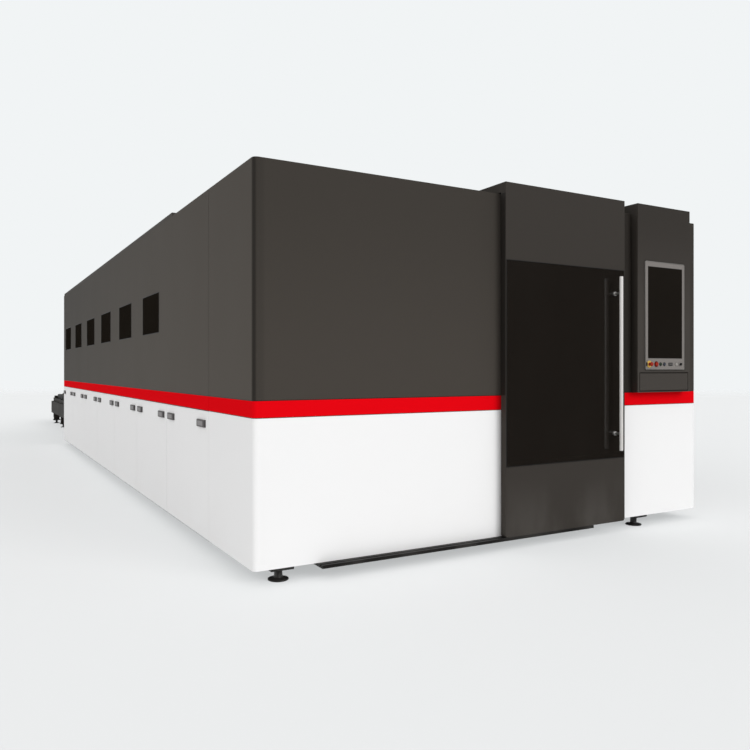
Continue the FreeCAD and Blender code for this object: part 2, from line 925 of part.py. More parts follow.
def bezel_outline(depth, y):
    """Slab with the outline of the screen's bezel, its corners rounded, from y to the back."""
    corners = ((0, 0), (s.bezel_wide, 0), (s.bezel_wide, s.bezel_tall), (0, s.bezel_tall))
    slab = padded("XZ_Plane", corners, depth, (bezel_x, y, bezel_z), towards_back=True)
    return rounded(slab, s.bezel_radius, lambda edge: edge.BoundBox.YLength > 1)


def screen():
    pane_x = (box_middle - s.screen_wide / 2, box_middle + s.screen_wide / 2)
    pane_z = (bezel_z + s.screen_low, bezel_z + s.screen_low + s.screen_tall)
    pane_y = (bezel_face, bezel_face + s.screen_thick)
    slab = bezel_outline(s.bezel_thick, bezel_face)
    gap = s.seat_gap
    recess = span(pane_x, (bezel_face - 1, pane_y[1]), pane_z)
    sunk = (bezel_face - 1, bezel_face + s.button_sunk)
    stems = [(place, radius) for _, place, radius, _ in push_buttons]
    stems.append((s.estop_place, s.estop_stem))
    bores = []
    for place, radius in stems:
        bores.append(rod("y", radius + gap * 1.5, sunk, (bezel_x + place, button_z), WHEEL_SIDES))
    node("screen_bezel", holed(slab, recess, *bores))
    pane = span(
        (pane_x[0] + gap, pane_x[1] - gap),
        (pane_y[0] + gap, pane_y[1]),
        (pane_z[0] + gap, pane_z[1] - gap),
    )
    node("screen_glass", pane)


def controls():
    stem_end = bezel_face + s.button_sunk / 2
    gap = s.seat_gap
    for label, place, radius, rise in push_buttons:
        stretch = (bezel_face - rise, stem_end)
        node(label, rod("y", radius, stretch, (bezel_x + place, button_z), WHEEL_SIDES))
    estop_at = (bezel_x + s.estop_place, button_z)
    ring_y = (bezel_face - s.estop_ring_thick, bezel_face)
    ring = rod("y", s.estop_ring, ring_y, estop_at, WHEEL_SIDES)
    node("estop_ring", holed(ring, rod("y", s.estop_stem + gap * 1.5, ring_y, estop_at, WHEEL_SIDES)))
    cap_y = ring_y[0] - s.estop_rise
    shoulder = cap_y - s.estop_cap * 0.6
    stem = rod("y", s.estop_stem, (cap_y, stem_end), estop_at, WHEEL_SIDES)
    mushroom = rod("y", s.estop_head, (shoulder, cap_y), estop_at, WHEEL_SIDES)
    crown = rod("y", s.estop_top, (cap_y - s.estop_cap, shoulder), estop_at, WHEEL_SIDES)
    node("estop_button", fused(stem, mushroom, crown))
    key_x = bezel_x + s.key_place
    key_y = bezel_face - gap
    barrel = rod("y", s.key_radius, (key_y - s.key_thick, key_y), (key_x, button_z), WHEEL_SIDES)
    rib = span(
        (key_x - s.key_rib / 2, key_x + s.key_rib / 2),
        (key_y - s.key_thick * 2, key_y - s.key_thick),
        (button_z - s.key_radius, button_z + s.key_radius),
    )
    node("key_switch", fused(barrel, rib))


def keyboard_drawer():
    half = s.drawer_wide / 2
    face = span((box_middle - half, box_middle + half), (box_face, box_face + s.drawer_front), drawer_z)
    half = s.tray_wide / 2
    y = (box_face + s.drawer_front, box_face + s.drawer_front + s.tray_deep)
    low = drawer_z[0] + s.tray_low
    sheet = s.tray_sheet
    tray = holed(
        span((box_middle - half, box_middle + half), y, (low, low + s.tray_tall)),
        span(
            (box_middle - half + sheet, box_middle + half - sheet),
            (y[0], y[1] - sheet),
            (low + sheet, low + s.tray_tall),
        ),
    )
    node("keyboard_drawer", fused(face, tray))
    half = s.keyboard_wide / 2
    board_y = y[0] + sheet * 4
    slope = s.keyboard_tall * 0.45
    board = padded(
        "YZ_Plane",
        ((0, 0), (s.keyboard_deep, 0), (s.keyboard_deep, s.keyboard_tall), (0, slope)),
        s.keyboard_wide,
        (box_middle - half, board_y, low + sheet),
    )
    node("keyboard", board)


# ---------------------------------------------------------------- gantry

def guides():
    end = inner_rear - s.bed_rear_gap
    start = front + s.bed_start + s.bed_plate
    waist = s.guide_wide * 0.18
    tall = s.guide_tall
    wide = s.guide_wide
    rail_outline = (
        (0, 0),
        (wide, 0),
        (wide, tall * 0.35),
        (wide - waist, tall * 0.55),
        (wide, tall * 0.75),
        (wide, tall),
        (0, tall),
        (0, tall * 0.75),
        (waist, tall * 0.55),
        (0, tall * 0.35),
    )
    rails = []
    racks = []
    for x, rack_x in (
        (left + s.guide_side, left + s.rack_side),
        (right - s.guide_side, right - s.rack_side),
    ):
        place = (x - wide / 2, start, s.bed_top)
        rails.append(padded("XZ_Plane", rail_outline, end - start, place, towards_back=True))
        rack_pair = (rack_x - s.rack_wide / 2, rack_x + s.rack_wide / 2)
        racks.append(span(rack_pair, (start, end), (s.bed_top, s.bed_top + s.rack_tall)))
    node("y_rails", grouped(*rails))
    node("y_racks", grouped(*racks))


def gantry_ends():
    """Cast saddles that carry the beam, each on two blocks that straddle its guide rail."""
    gap = s.seat_gap
    start = front + s.gantry_start
    long = s.saddle_long
    tall = s.saddle_tall
    half = s.guide_wide / 2 + gap
    wide = s.guide_wide
    block = s.saddle_block
    nose = (s.beam_start - s.gantry_start) * 0.8
    side_outline = ((0, 0), (long, 0), (long, tall), (nose, tall), (0, tall * 0.5))
    block_z = (s.bed_top + s.block_clear, s.saddle_low)
    slot_z = (s.bed_top, s.bed_top + s.guide_tall + gap)
    ends = []
    for x, rail_x in (
        (left + s.saddle_side, left + s.guide_side),
        (right - s.saddle_side - s.saddle_wide, right - s.guide_side),
    ):
        pieces = [padded("YZ_Plane", side_outline, s.saddle_wide, (x, start, s.saddle_low))]
        for block_start in (start + s.block_inset, start + long - s.block_inset - block):
            stretch = (block_start, block_start + block)
            straddle = span((rail_x - wide, rail_x + wide), stretch, block_z)
            slot = span((rail_x - half, rail_x + half), stretch, slot_z)
            pieces.append(holed(straddle, slot))
        ends.append(fused(*pieces))
    node("gantry_ends", grouped(*ends))


def gantry_beam():
    low = s.saddle_low + s.saddle_tall
    deep = s.beam_deep
    tall = s.beam_tall
    wall = s.beam_wall
    slope = tall * 0.3
    length = s.case_wide - s.beam_side * 2
    place = (left + s.beam_side, front + s.beam_start, low)
    outer = padded(
        "YZ_Plane",
        ((0, 0), (deep, 0), (deep, tall - slope), (deep - slope, tall), (0, tall)),
        length,
        place,
    )
    core = padded(
        "YZ_Plane",
        (
            (wall, wall),
            (deep - wall, wall),
            (deep - wall, tall - slope - wall * 0.4),
            (deep - slope - wall * 0.4, tall - wall),
            (wall, tall - wall),
        ),
        length,
        place,
    )
    node("gantry_beam", holed(outer, core))


def x_rails():
    low = s.saddle_low + s.saddle_tall
    beam_front = front + s.beam_start
    x = (left + s.saddle_side + s.saddle_wide, right - s.saddle_side - s.saddle_wide)
    rails = []
    for height in (low + s.rail_low, low + s.rail_high):
        half = s.xrail_wide / 2
        rails.append(span(x, (beam_front - s.xrail_deep, beam_front), (height - half, height + half)))
    node("x_rails", grouped(*rails))


def gantry_motors():
    low = s.saddle_low + s.saddle_tall
    y = front + s.beam_start + s.beam_deep + s.servo_wide / 2 + s.panel_gap * 3
    half = s.servo_wide / 2
    motors = []
    for x in (left + s.servo_side, right - s.servo_side):
        gearbox = rod("z", half, (low, low + s.gearbox_tall), (x, y), WHEEL_SIDES)
        trim = half * 0.92
        motor_z = (low + s.gearbox_tall, low + s.gearbox_tall + s.servo_tall)
        motors.append(fused(gearbox, span((x - trim, x + trim), (y - trim, y + trim), motor_z)))
    node("gantry_motors", grouped(*motors))


# The carriage stands in front of the beam, the Z slide in front of it, and the head in front of that.
carriage_back = front + s.beam_start - s.xrail_deep - s.seat_gap * 10
carriage_front = carriage_back - s.carriage_thick
slide_back = carriage_front - s.seat_gap
slide_front = slide_back - s.slide_deep
head_y = slide_front - s.head_deep / 2


def x_carriage():
    low = s.saddle_low + s.saddle_tall
    half = s.carriage_wide / 2
    x = (middle - half, middle + half)
    plate = span(x, (carriage_front, carriage_back), (low, low + s.carriage_tall))
    gap = s.seat_gap
    pieces = [plate]
    beam_front = front + s.beam_start
    for height in (low + s.rail_low, low + s.rail_high):
        half_block = s.block_tall / 2
        half_slot = s.xrail_wide / 2 + gap
        for start in (x[0], x[1] - s.block_long):
            stretch = (start, start + s.block_long)
            z = (height - half_block, height + half_block)
            block = span(stretch, (carriage_back, beam_front - gap * 20), z)
            slot_z = (height - half_slot, height + half_slot)
            slot = span(stretch, (beam_front - s.xrail_deep - gap, beam_front), slot_z)
            pieces.append(holed(block, slot))
    motor = s.servo_wide * 0.36
    motor_z = low + s.carriage_tall
    centre = (middle, (carriage_front + carriage_back) / 2 - motor)
    shelf = span((middle - motor * 2, middle + motor * 2), (carriage_front - motor * 2, carriage_back),
                 (motor_z - s.skin, motor_z))
    pieces += [shelf, rod("z", motor, (motor_z, motor_z + s.servo_tall * 0.8), centre)]
    node("x_carriage", fused(*pieces))


def z_slide():
    half = s.slide_wide / 2
    z = (s.slide_low, s.slide_low + s.slide_tall)
    plate = span((middle - half, middle + half), (slide_front, slide_back), z)
    groove = s.slide_wide * 0.2
    pocket = span((middle - groove, middle + groove), (slide_front + s.carriage_thick, slide_back), z)
    node("z_slide", holed(plate, pocket))


def cutting_head():
    half = s.head_wide / 2
    z = (s.head_low, s.head_low + s.head_tall)
    housing = span((middle - half, middle + half), (slide_front - s.head_deep, slide_front), z)
    barrel_low = s.head_low - s.collimator_tall
    tip = barrel_low - s.cone_tall
    step = (tip + barrel_low) / 2
    centre = (middle, head_y)
    barrel = rod("z", s.collimator_radius, (barrel_low, s.head_low), centre, WHEEL_SIDES)
    upper_nose = rod("z", s.cone_wide, (step, barrel_low), centre, WHEEL_SIDES)
    lower_nose = rod("z", s.cone_end, (tip, step), centre, WHEEL_SIDES)
    fibre = rod("z", s.cone_end, (z[1], z[1] + s.cone_tall), centre, SHAFT_SIDES)
    node("cutting_head", fused(housing, barrel, upper_nose, lower_nose, fibre))
    nozzle_low = tip - s.nozzle_tall
    collar_low = tip - s.nozzle_tall * 0.45
    collar = rod("z", s.collar_radius, (collar_low, tip), centre, WHEEL_SIDES)
    tip_piece = rod("z", s.nozzle_end, (nozzle_low, collar_low), centre, WHEEL_SIDES)
    bore = rod("z", s.nozzle_bore, (nozzle_low, tip), centre, SHAFT_SIDES)
    node("nozzle", holed(fused(collar, tip_piece), bore))


# ---------------------------------------------------------------- exchange table

def exchange_frame():
    z = (s.table_low, s.table_low + s.table_tall)
    pieces = [span(x, (rear, table_back), z) for x in both(s.table_side, s.table_inner)]
    leg_x = both(s.table_side, s.table_side + s.leg_wide)
    inside = (left + s.table_side + s.leg_wide, right - s.table_side - s.leg_wide)
    half = s.cross_wide / 2
    for y in leg_places():
        pieces += [span(x, (y - half, y + half), (base, s.table_low)) for x in leg_x]
        stretch = (y - half * 0.8, y + half * 0.8)
        pieces.append(span(inside, stretch, (s.table_low - s.sill_tall, s.table_low)))
    across = (left + s.table_inner, right - s.table_inner)
    ledge_low = s.lower_level - s.ledge_thick
    pieces.append(span(across, (table_back - s.cross_wide, table_back), (ledge_low - s.end_tall, ledge_low)))
    pieces += pallet_ledges(rear, table_back)
    end_y = (table_back - s.post, table_back)
    for x in both(s.table_inner, s.table_inner + s.ledge):
        pieces.append(span(x, end_y, (s.lower_level, s.lower_level + s.wheel_radius)))
    upper_level = s.lower_level + s.level_step
    buffer_top = upper_level + s.pallet_lift + s.pallet_tall * 0.7
    pieces.append(span(across, end_y, (upper_level - s.ledge_thick, buffer_top)))
    node("exchange_frame", fused(*pieces))


def slat():
    """Support slat on edge: a thin plate with a row of points along its upper edge."""
    pitch = (s.case_wide - s.pallet_side * 2 - s.pallet_tube * 2 - s.seat_gap * 2) / s.slat_teeth
    corners = [(0, 0), (pitch * s.slat_teeth, 0)]
    valley = s.slat_tall - s.tooth_tall
    for number in range(SIZES["slat_teeth"], 0, -1):
        corners.append((pitch * number, valley))
        corners.append((pitch * (number - 0.5), s.slat_tall))
    corners.append((0, valley))
    return padded("XZ_Plane", corners, s.slat_thick, (0, 0, 0), towards_back=True)


def pallet(name, start, level, pattern):
    """Rolling pallet at one level: a welded frame on wheels, and the loose slats in it."""
    low = level + s.pallet_lift
    y = (start, start + s.pallet_long)
    z = (low, low + s.pallet_tall)
    tube = s.pallet_tube
    pieces = [span(x, y, z) for x in both(s.pallet_side, s.pallet_side + tube)]
    inside = (left + s.pallet_side + tube, right - s.pallet_side - tube)
    for end in ((y[0], y[0] + tube), (y[1] - tube, y[1])):
        pieces.append(span(inside, end, z))
    for number in range(1, 6):
        place = y[0] + s.pallet_long * number / 6
        bar = (place - tube / 2, place + tube / 2)
        pieces.append(span(inside, bar, (low, low + s.comb_tall)))
    comb_edge = s.pallet_side + tube
    for x in both(comb_edge, comb_edge + s.comb_wide):
        pieces.append(span(x, y, (low, low + s.comb_tall)))
    wheel_z = level + s.wheel_radius
    for number in range(SIZES["wheel_count"]):
        place = y[0] + s.pallet_long * (number + 0.5) / s.wheel_count
        for x in both(s.pallet_side - s.wheel_wide, s.pallet_side):
            pieces.append(rod("x", s.wheel_radius - s.seat_gap, x, (place, wheel_z), WHEEL_SIDES))
    node(f"{name}_pallet", fused(*pieces))
    count = SIZES["slat_count"]
    room = SIZES["pallet_long"] - 2 * SIZES["pallet_tube"] - SIZES["slat_thick"]
    copies = []
    for number in range(count):
        copy = pattern.Shape.copy()
        copy.translate(FreeCAD.Vector(0, room * (number + 0.5) / count, 0))
        copies.append(copy)
    slats = doc.addObject("Part::Feature", "slats")
    slats.Shape = Part.makeCompound(copies)
    put(slats, inside[0] + s.seat_gap, y[0] + tube, low + s.comb_tall)
    node(f"{name}_slats", slats)


def pallets():
    pattern = slat()
    doc.recompute()
    pallet("lower", front + s.lower_start, s.lower_level, pattern)
    upper_start = table_back - s.upper_stop - s.pallet_long
    pallet("upper", upper_start, s.lower_level + s.level_step, pattern)


def pallet_drive():
    half = s.drive_box / 2
    plate_back = table_back - s.cross_wide
    y = plate_back - s.drive_plate - half
    z = s.drive_level
    box_z = (z - half * 0.8, z + half * 0.8)
    box_across = (middle - half, middle + half)
    pieces = [
        span(box_across, (y - half, y + half), box_z),
        span(box_across, (y + half, plate_back), (box_z[0], s.lower_level - s.ledge_thick)),
        rod("x", s.motor_radius, (middle + half, middle + half + s.motor_long), (y, z), WHEEL_SIDES),
    ]
    inner = s.table_inner + s.ledge
    bearing = s.table_inner - s.bearing_wide
    pieces.append(rod("x", s.drive_radius, (left + bearing, right - bearing), (y, z), SHAFT_SIDES))
    for x in both(inner, inner + s.sprocket_wide):
        pieces.append(rod("x", s.sprocket_radius, x, (y, z), WHEEL_SIDES))
    half_bearing = s.bearing_long / 2
    for x in both(bearing, s.table_inner):
        pieces.append(span(x, (y - half_bearing, y + half_bearing), (z - half_bearing / 2, s.table_low)))
    node("pallet_drive", fused(*pieces))


# ---------------------------------------------------------------- the machine

levelling_feet()
bed_frame()
side_frame("left_frame", left, 1)
side_frame("right_frame", right, -1)
front_frame()
front_covers()
stripes()
side_walls()
side_panels()
roof()
rear_wall()
door_shell()
door_handle()
door_guides()
control_box()
screen()
controls()
keyboard_drawer()
guides()
gantry_ends()
gantry_beam()
x_rails()
gantry_motors()
x_carriage()
z_slide()
cutting_head()
exchange_frame()
pallets()
pallet_drive()

doc.recompute()
faults = [item.Label for item in doc.Objects if "Invalid" in item.State or "Error" in item.State]
faults += [item.Label for item in nodes if item.Shape.isNull() or not item.Shape.isValid()]
if faults:
    raise SystemExit("not built: " + ", ".join(faults))
os.makedirs("parts", exist_ok=True)
for item in nodes:
    item.Shape.exportStep(f"parts/{item.Label}.step")
print(len(nodes), "pieces written")
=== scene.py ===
import json
import math

import bmesh
import bpy
import numpy as np
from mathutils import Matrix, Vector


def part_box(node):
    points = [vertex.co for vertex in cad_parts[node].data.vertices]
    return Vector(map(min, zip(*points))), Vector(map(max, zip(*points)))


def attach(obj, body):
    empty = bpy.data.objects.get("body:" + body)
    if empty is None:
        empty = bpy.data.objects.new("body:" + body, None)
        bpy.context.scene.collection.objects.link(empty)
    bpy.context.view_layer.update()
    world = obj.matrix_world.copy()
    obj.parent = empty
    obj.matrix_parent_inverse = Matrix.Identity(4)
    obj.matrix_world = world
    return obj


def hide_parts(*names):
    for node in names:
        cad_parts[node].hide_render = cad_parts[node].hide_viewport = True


# Dress of an enclosed sheet laser cutter. Lengths are in metres, X to the right along the
# front, Y from the operator's door towards the exchange table, Z up.

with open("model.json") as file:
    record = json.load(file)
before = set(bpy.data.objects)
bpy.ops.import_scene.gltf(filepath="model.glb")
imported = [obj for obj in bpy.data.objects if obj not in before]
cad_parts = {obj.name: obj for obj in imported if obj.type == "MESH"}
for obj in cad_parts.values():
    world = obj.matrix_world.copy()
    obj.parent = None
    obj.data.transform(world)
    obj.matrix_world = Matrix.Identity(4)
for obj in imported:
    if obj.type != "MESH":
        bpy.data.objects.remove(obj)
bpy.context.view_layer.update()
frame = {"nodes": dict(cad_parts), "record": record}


# ---------------------------------------------------------------- nodes

# A Mix node's sockets for colours go by number, because their names repeat.
MIX_FACTOR, MIX_FIRST, MIX_SECOND, MIX_COLOUR = 0, 6, 7, 2


class Wire:
    """An output in a finish's node tree. Arithmetic on it adds Math nodes."""

    def __init__(self, finish, socket):
        self.finish = finish
        self.socket = socket

    def math(self, operation, first, second):
        """A Math node on two values."""
        return self.finish.node("ShaderNodeMath", {"operation": operation}, {0: first, 1: second})

    def __add__(self, other):
        return self.math("ADD", self, other)

    def __sub__(self, other):
        return self.math("SUBTRACT", self, other)

    def __rsub__(self, other):
        return self.math("SUBTRACT", other, self)

    def __mul__(self, other):
        return self.math("MULTIPLY", self, other)

    def __mod__(self, other):
        return self.math("FLOORED_MODULO", self, other)

    __radd__ = __add__
    __rmul__ = __mul__

    def most(self, other):
        """The larger of two values at each point."""
        return self.math("MAXIMUM", self, other)

    def between(self, low, high):
        """Smooth step from 0 at low to 1 at high. Low may be the larger number."""
        settings = {"interpolation_type": "SMOOTHSTEP"}
        values = {"Value": self, "From Min": low, "From Max": high}
        return self.finish.node("ShaderNodeMapRange", settings, values)


class Finish:
    """A material or a world in nodes. Sockets that stay fixed are given by name."""

    def __init__(self, owner, **sockets):
        owner.use_nodes = True
        self.owner = owner
        self.tree = owner.node_tree
        self.tree.nodes.clear()
        self.sockets = sockets

    def node(self, kind, settings, values, result=0):
        """Add a node: its settings first, then the numbers or wires of its inputs."""
        made = self.tree.nodes.new(kind)
        for name, setting in settings.items():
            setattr(made, name, setting)
        for key, value in values.items():
            if isinstance(value, Wire):
                self.tree.links.new(value.socket, made.inputs[key])
            else:
                made.inputs[key].default_value = value
        return Wire(self, made.outputs[result]) if made.outputs else None

    def place(self, stretch=(1, 1, 1)):
        """Object coordinates, in metres, scaled by stretch."""
        where = self.node("ShaderNodeTexCoord", {}, {}, "Object")
        return self.node("ShaderNodeMapping", {}, {"Vector": where, "Scale": stretch})

    def axis(self, letter):
        """One of the object coordinates, in metres."""
        return self.node("ShaderNodeSeparateXYZ", {}, {0: self.place()}, "XYZ".index(letter))

    def near(self, letter, place, reach, core):
        """1 within core of a place on one axis, easing to 0 at reach."""
        away = self.axis(letter) - place
        return (away * away).between(reach * reach, core * core)

    def noise(self, scale, detail, stretch=(1, 1, 1)):
        """Soft random pattern around 0.5. A larger scale is finer."""
        values = {"Vector": self.place(stretch), "Scale": scale, "Detail": detail}
        return self.node("ShaderNodeTexNoise", {}, values)

    def cells(self, scale, stretch=(1, 1, 1)):
        """Distance to the nearest of many scattered points."""
        values = {"Vector": self.place(stretch), "Scale": scale}
        return self.node("ShaderNodeTexVoronoi", {}, values)

    def ray(self, kind):
        """1 for light rays of one kind, 0 for the others."""
        return self.node("ShaderNodeLightPath", {}, {}, f"Is {kind} Ray")

    def blend(self, factor, first, second):
        """Mix of two colours. A plain colour is three numbers."""
        values = {MIX_FACTOR: factor}
        for key, colour in ((MIX_FIRST, first), (MIX_SECOND, second)):
            values[key] = colour if isinstance(colour, Wire) else opaque(colour)
        return self.node("ShaderNodeMix", {"data_type": "RGBA"}, values, MIX_COLOUR)

    def mixed(self, factor, first, second):
        """Mix of two shaders."""
        return self.node("ShaderNodeMixShader", {}, {0: factor, 1: first, 2: second})

    def background(self, colour, strength):
        """Sky of one colour."""
        values = {"Color": opaque(colour), "Strength": strength}
        return self.node("ShaderNodeBackground", {}, values)

    def bump(self, height, strength, distance):
        """Normal tilted by a height pattern."""
        values = {"Height": height, "Strength": strength, "Distance": distance}
        return self.node("ShaderNodeBump", {}, values)

    def peel(self, grain):
        """Bump of baked powder: orange peel with its fine grain."""
        return self.bump(self.noise(380, 2) * 0.7 + grain * 0.3, 0.1, 0.0006)

    def shaded(self, **wires):
        """End the material: the Principled shader with its fixed sockets and these wires."""
        values = {}
        for name, value in {**self.sockets, **wires}.items():
            key = name.replace("_", " ").title().replace("Ior", "IOR")
            plain_colour = isinstance(value, tuple) and len(value) == 3
            values[key] = opaque(value) if plain_colour else value
        self.output(self.node("ShaderNodeBsdfPrincipled", {}, values))
        return self.owner

    def output(self, shader):
        """End the material or world in a shader."""
        kind = "World" if isinstance(self.owner, bpy.types.World) else "Material"
        self.node(f"ShaderNodeOutput{kind}", {}, {"Surface": shader})


def finish(name, **sockets):
    """A new material, empty but for the sockets that stay fixed."""
    return Finish(bpy.data.materials.new(name), **sockets)


def opaque(colour):
    """Three numbers of a colour, and full alpha."""
    return (*colour, 1.0)


def shade(colour, amount):
    """The colour times an amount, each part at most 1."""
    return tuple(min(1.0, part * amount) for part in colour)


# ---------------------------------------------------------------- finishes

# Powder paint: sizes of its clouds and of its grain, and its smudges, which run down.
CLOUD, GRAIN = (0.6, 3), (900, 1)
SMUDGE = (3.1, 4, (1, 1, 0.4))
DUST = (0.5, 0.48, 0.45)

# Paint of the upper covers, with painted light: a face's tone, paler or darker as light falls on
# that face, is given at the red band and at the roof, and along Y the sides go over to a darker
# tone towards the rear.
BAND_TO_ROOF = (1.0, 2.3)
FRONT_PAINTED_LIGHT, SIDE_PAINTED_LIGHT, REAR_PAINTED_LIGHT = (1.13, 0.90), (1.62, 1.42), (1.17, 0.98)
SIDE_TO_REAR = (-5.5, 2.0)
# How far the sides' painted light reaches in from their planes along X, how far the painted shade
# over a front corner reaches along X or Y, and how far each is full.
FOLD_X, EDGE_X, SIDE_X, CORNER_Y = (0.020, 0.006), (0.070, 0.045), (0.006, 0.002), (0.034, 0.010)


def powder_coat(name, colour, roughness, gloss=0.5, cloudy=0.06, film=DUST):
    """Baked powder: orange peel, a faint cloud in the tone and a film of dust near the floor."""
    coat = finish(name, specular_ior_level=gloss)
    grain = coat.noise(*GRAIN)
    smudge = coat.noise(*SMUDGE)
    tone = coat.blend(coat.noise(*CLOUD), shade(colour, 1 - cloudy), shade(colour, 1 + cloudy))
    tone = coat.blend(grain * cloudy * 2, tone, shade(colour, 0.7))
    near_floor = coat.axis("Z").between(0.5, 0.05)
    settled = near_floor * smudge.between(0.42, 0.7) * 0.05
    return coat.shaded(
        base_color=coat.blend(settled, tone, film),
        roughness=roughness - 0.04 + smudge * 0.06 + grain * 0.03,
        normal=coat.peel(grain),
    )


def cover_coat_painted_light(name, colour, roughness, gloss, cloudy):
    """Powder on the upper covers with painted light and shade: paler low down and on the sides,
    where more light is painted, and painted shade over the front folds.
    """
    coat = finish(name, specular_ior_level=gloss)
    left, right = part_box("front_left_upper")[0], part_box("front_right_upper")[1]
    height = coat.axis("Z").between(*BAND_TO_ROOF)
    grain = coat.noise(*GRAIN)

    def height_painted_light(tones):
        """Painted light: the colour times the first amount at the band, the second at the roof."""
        return coat.blend(height, *[shade(colour, amount) for amount in tones])

    def at_sides(reach, core):
        """1 within core of the left or right plane, easing to 0 at reach."""
        return coat.near("X", left.x, reach, core) + coat.near("X", right.x, reach, core)

    corner = coat.near("Y", left.y, *CORNER_Y)
    # Painted light: the sides are paler than the front, and fade darker towards the rear.
    side = coat.blend(coat.axis("Y").between(*SIDE_TO_REAR), height_painted_light(SIDE_PAINTED_LIGHT), height_painted_light(REAR_PAINTED_LIGHT))
    tone = coat.blend(at_sides(*SIDE_X), height_painted_light(FRONT_PAINTED_LIGHT), side)
    tone = coat.blend(coat.noise(*CLOUD) * cloudy * 2, tone, shade(colour, 1.4))
    tone = coat.blend(grain * cloudy * 2, tone, shade(colour, 0.7))
    # Painted shade over the front corners: a soft band on the front near each corner here, and the
    # fold itself darkened below.
    tone = coat.blend(at_sides(*EDGE_X) * corner * 0.24, tone, shade(colour, 0.5))
    return coat.shaded(
        base_color=coat.blend(at_sides(*FOLD_X) * corner * 0.9, tone, shade(colour, 0.42)),
        roughness=roughness + coat.noise(*SMUDGE) * 0.06,
        normal=coat.peel(grain),
    )


def box_coat_painted_shade(name, lit_low_colour, shaded_top_colour):
    """Textured powder on the operator's box, with painted shade: darker towards the top."""
    coat = finish(name, specular_ior_level=0.08)
    grain = coat.noise(700, 2)
    # Painted shade: the tone goes from the paler low colour at 1.45 m to the darker one at 2.3 m.
    tone = coat.blend(coat.axis("Z").between(1.45, 2.3), lit_low_colour, shaded_top_colour)
    tone = coat.blend(grain * 0.12, tone, shade(lit_low_colour, 0.5))
    return coat.shaded(
        base_color=coat.blend(coat.noise(0.8, 3) * 0.1, tone, shade(lit_low_colour, 1.2)),
        roughness=0.56 + grain * 0.06,
        normal=coat.bump(grain, 0.16, 0.0006),
    )


def machine_enamel(name, colour, roughness, soot=0.3, gloss=0.3):
    """Sprayed enamel inside the machine: runs and peel, oily patches, soot that settles."""
    enamel = finish(name, specular_ior_level=gloss)
    patch = enamel.noise(1.7, 5, (1, 0.5, 1.6)).between(0.5, 0.68)
    streak = enamel.noise(9, 4, (1, 1, 0.12)).between(0.52, 0.75)
    tone = enamel.blend(enamel.noise(1.1, 2), shade(colour, 0.9), shade(colour, 1.08))
    tone = enamel.blend(streak * soot * 0.7, tone, shade(colour, 0.45))
    specks = enamel.cells(160).between(0.16, 0.05)
    return enamel.shaded(
        base_color=enamel.blend(specks * soot, tone, (0.05, 0.045, 0.04)),
        roughness=roughness - patch * 0.16 + streak * 0.1,
        normal=enamel.bump(enamel.noise(240, 2), 0.16, 0.0008),
    )


def brushed(name, colour, roughness, along, bare=1.0):
    """Brushed metal: long fine lines along one axis, with a few deeper scratches."""
    metal = finish(name, metallic=bare)

    def drawn_out(amount):
        """Scale of a pattern that is pulled long along the brushing."""
        return tuple(amount if letter == along else 1.0 for letter in "XYZ")

    lines = metal.noise(1300, 3, drawn_out(0.012))
    scratch = metal.noise(210, 2, drawn_out(0.04)).between(0.62, 0.72)
    tone = metal.blend(lines, shade(colour, 0.86), shade(colour, 1.1))
    return metal.shaded(
        base_color=metal.blend(scratch * 0.35, tone, shade(colour, 0.6)),
        roughness=roughness - 0.08 + lines * 0.16 + scratch * 0.1,
        normal=metal.bump(lines, 0.12, 0.0004),
    )


def anodised(name, colour, roughness):
    """Anodised alloy: a fine matt blast under a clear film, with faint handling marks."""
    alloy = finish(name, metallic=0.85)
    blast = alloy.noise(1600, 1)
    marks = alloy.noise(6, 5).between(0.5, 0.72)
    return alloy.shaded(
        base_color=alloy.blend(marks * 0.3, shade(colour, 1.03), shade(colour, 0.8)),
        roughness=roughness + marks * 0.08 + blast * 0.05,
        normal=alloy.bump(blast, 0.08, 0.0004),
    )


def burnt_slat(name):
    """Cut steel slat: mill scale, rust bloom, and heat tint with beads of slag at the points."""
    steel = finish(name, metallic=0.55)
    lower_foot, level_step = 0.305, 0.2
    scale = steel.noise(14, 5, (1, 1, 2))
    rust = steel.noise(31, 6).between(0.54, 0.7)
    height = (steel.axis("Z") - lower_foot) % level_step
    edge = height + steel.noise(40, 3) * 0.02
    beads = steel.cells(210).between(0.42, 0.1) * height.between(0.07, 0.13)
    tone = steel.blend(scale, (0.075, 0.071, 0.067), (0.19, 0.178, 0.166))
    for amount, tint in (
        (rust * 0.5, (0.14, 0.070, 0.035)),
        (edge.between(0.095, 0.125) * 0.6, (0.19, 0.14, 0.08)),
        (edge.between(0.118, 0.142) * 0.75, (0.06, 0.065, 0.10)),
        (beads * 0.8, (0.045, 0.04, 0.038)),
    ):
        tone = steel.blend(amount, tone, tint)
    return steel.shaded(
        base_color=tone,
        roughness=0.5 + rust * 0.25 + beads * 0.15,
        normal=steel.bump(beads + scale * 0.3, 0.5, 0.0015),
    )


def dark_pane(name, colour, gloss, clearness):
    """Dark laser-safe acrylic: wiped gloss with a trace of dust in the wiping marks."""
    pane = finish(name, specular_ior_level=gloss, alpha=1 - clearness)
    wipe = pane.noise(5.0, 4, (1, 1, 0.3))
    dust = pane.noise(700, 1).between(0.64, 0.8)
    tone = pane.blend(wipe, shade(colour, 0.9), shade(colour, 1.15))
    return pane.shaded(
        base_color=pane.blend(dust * 0.05, tone, (0.3, 0.29, 0.27)),
        roughness=0.05 + wipe * 0.07 + dust * 0.1,
    )


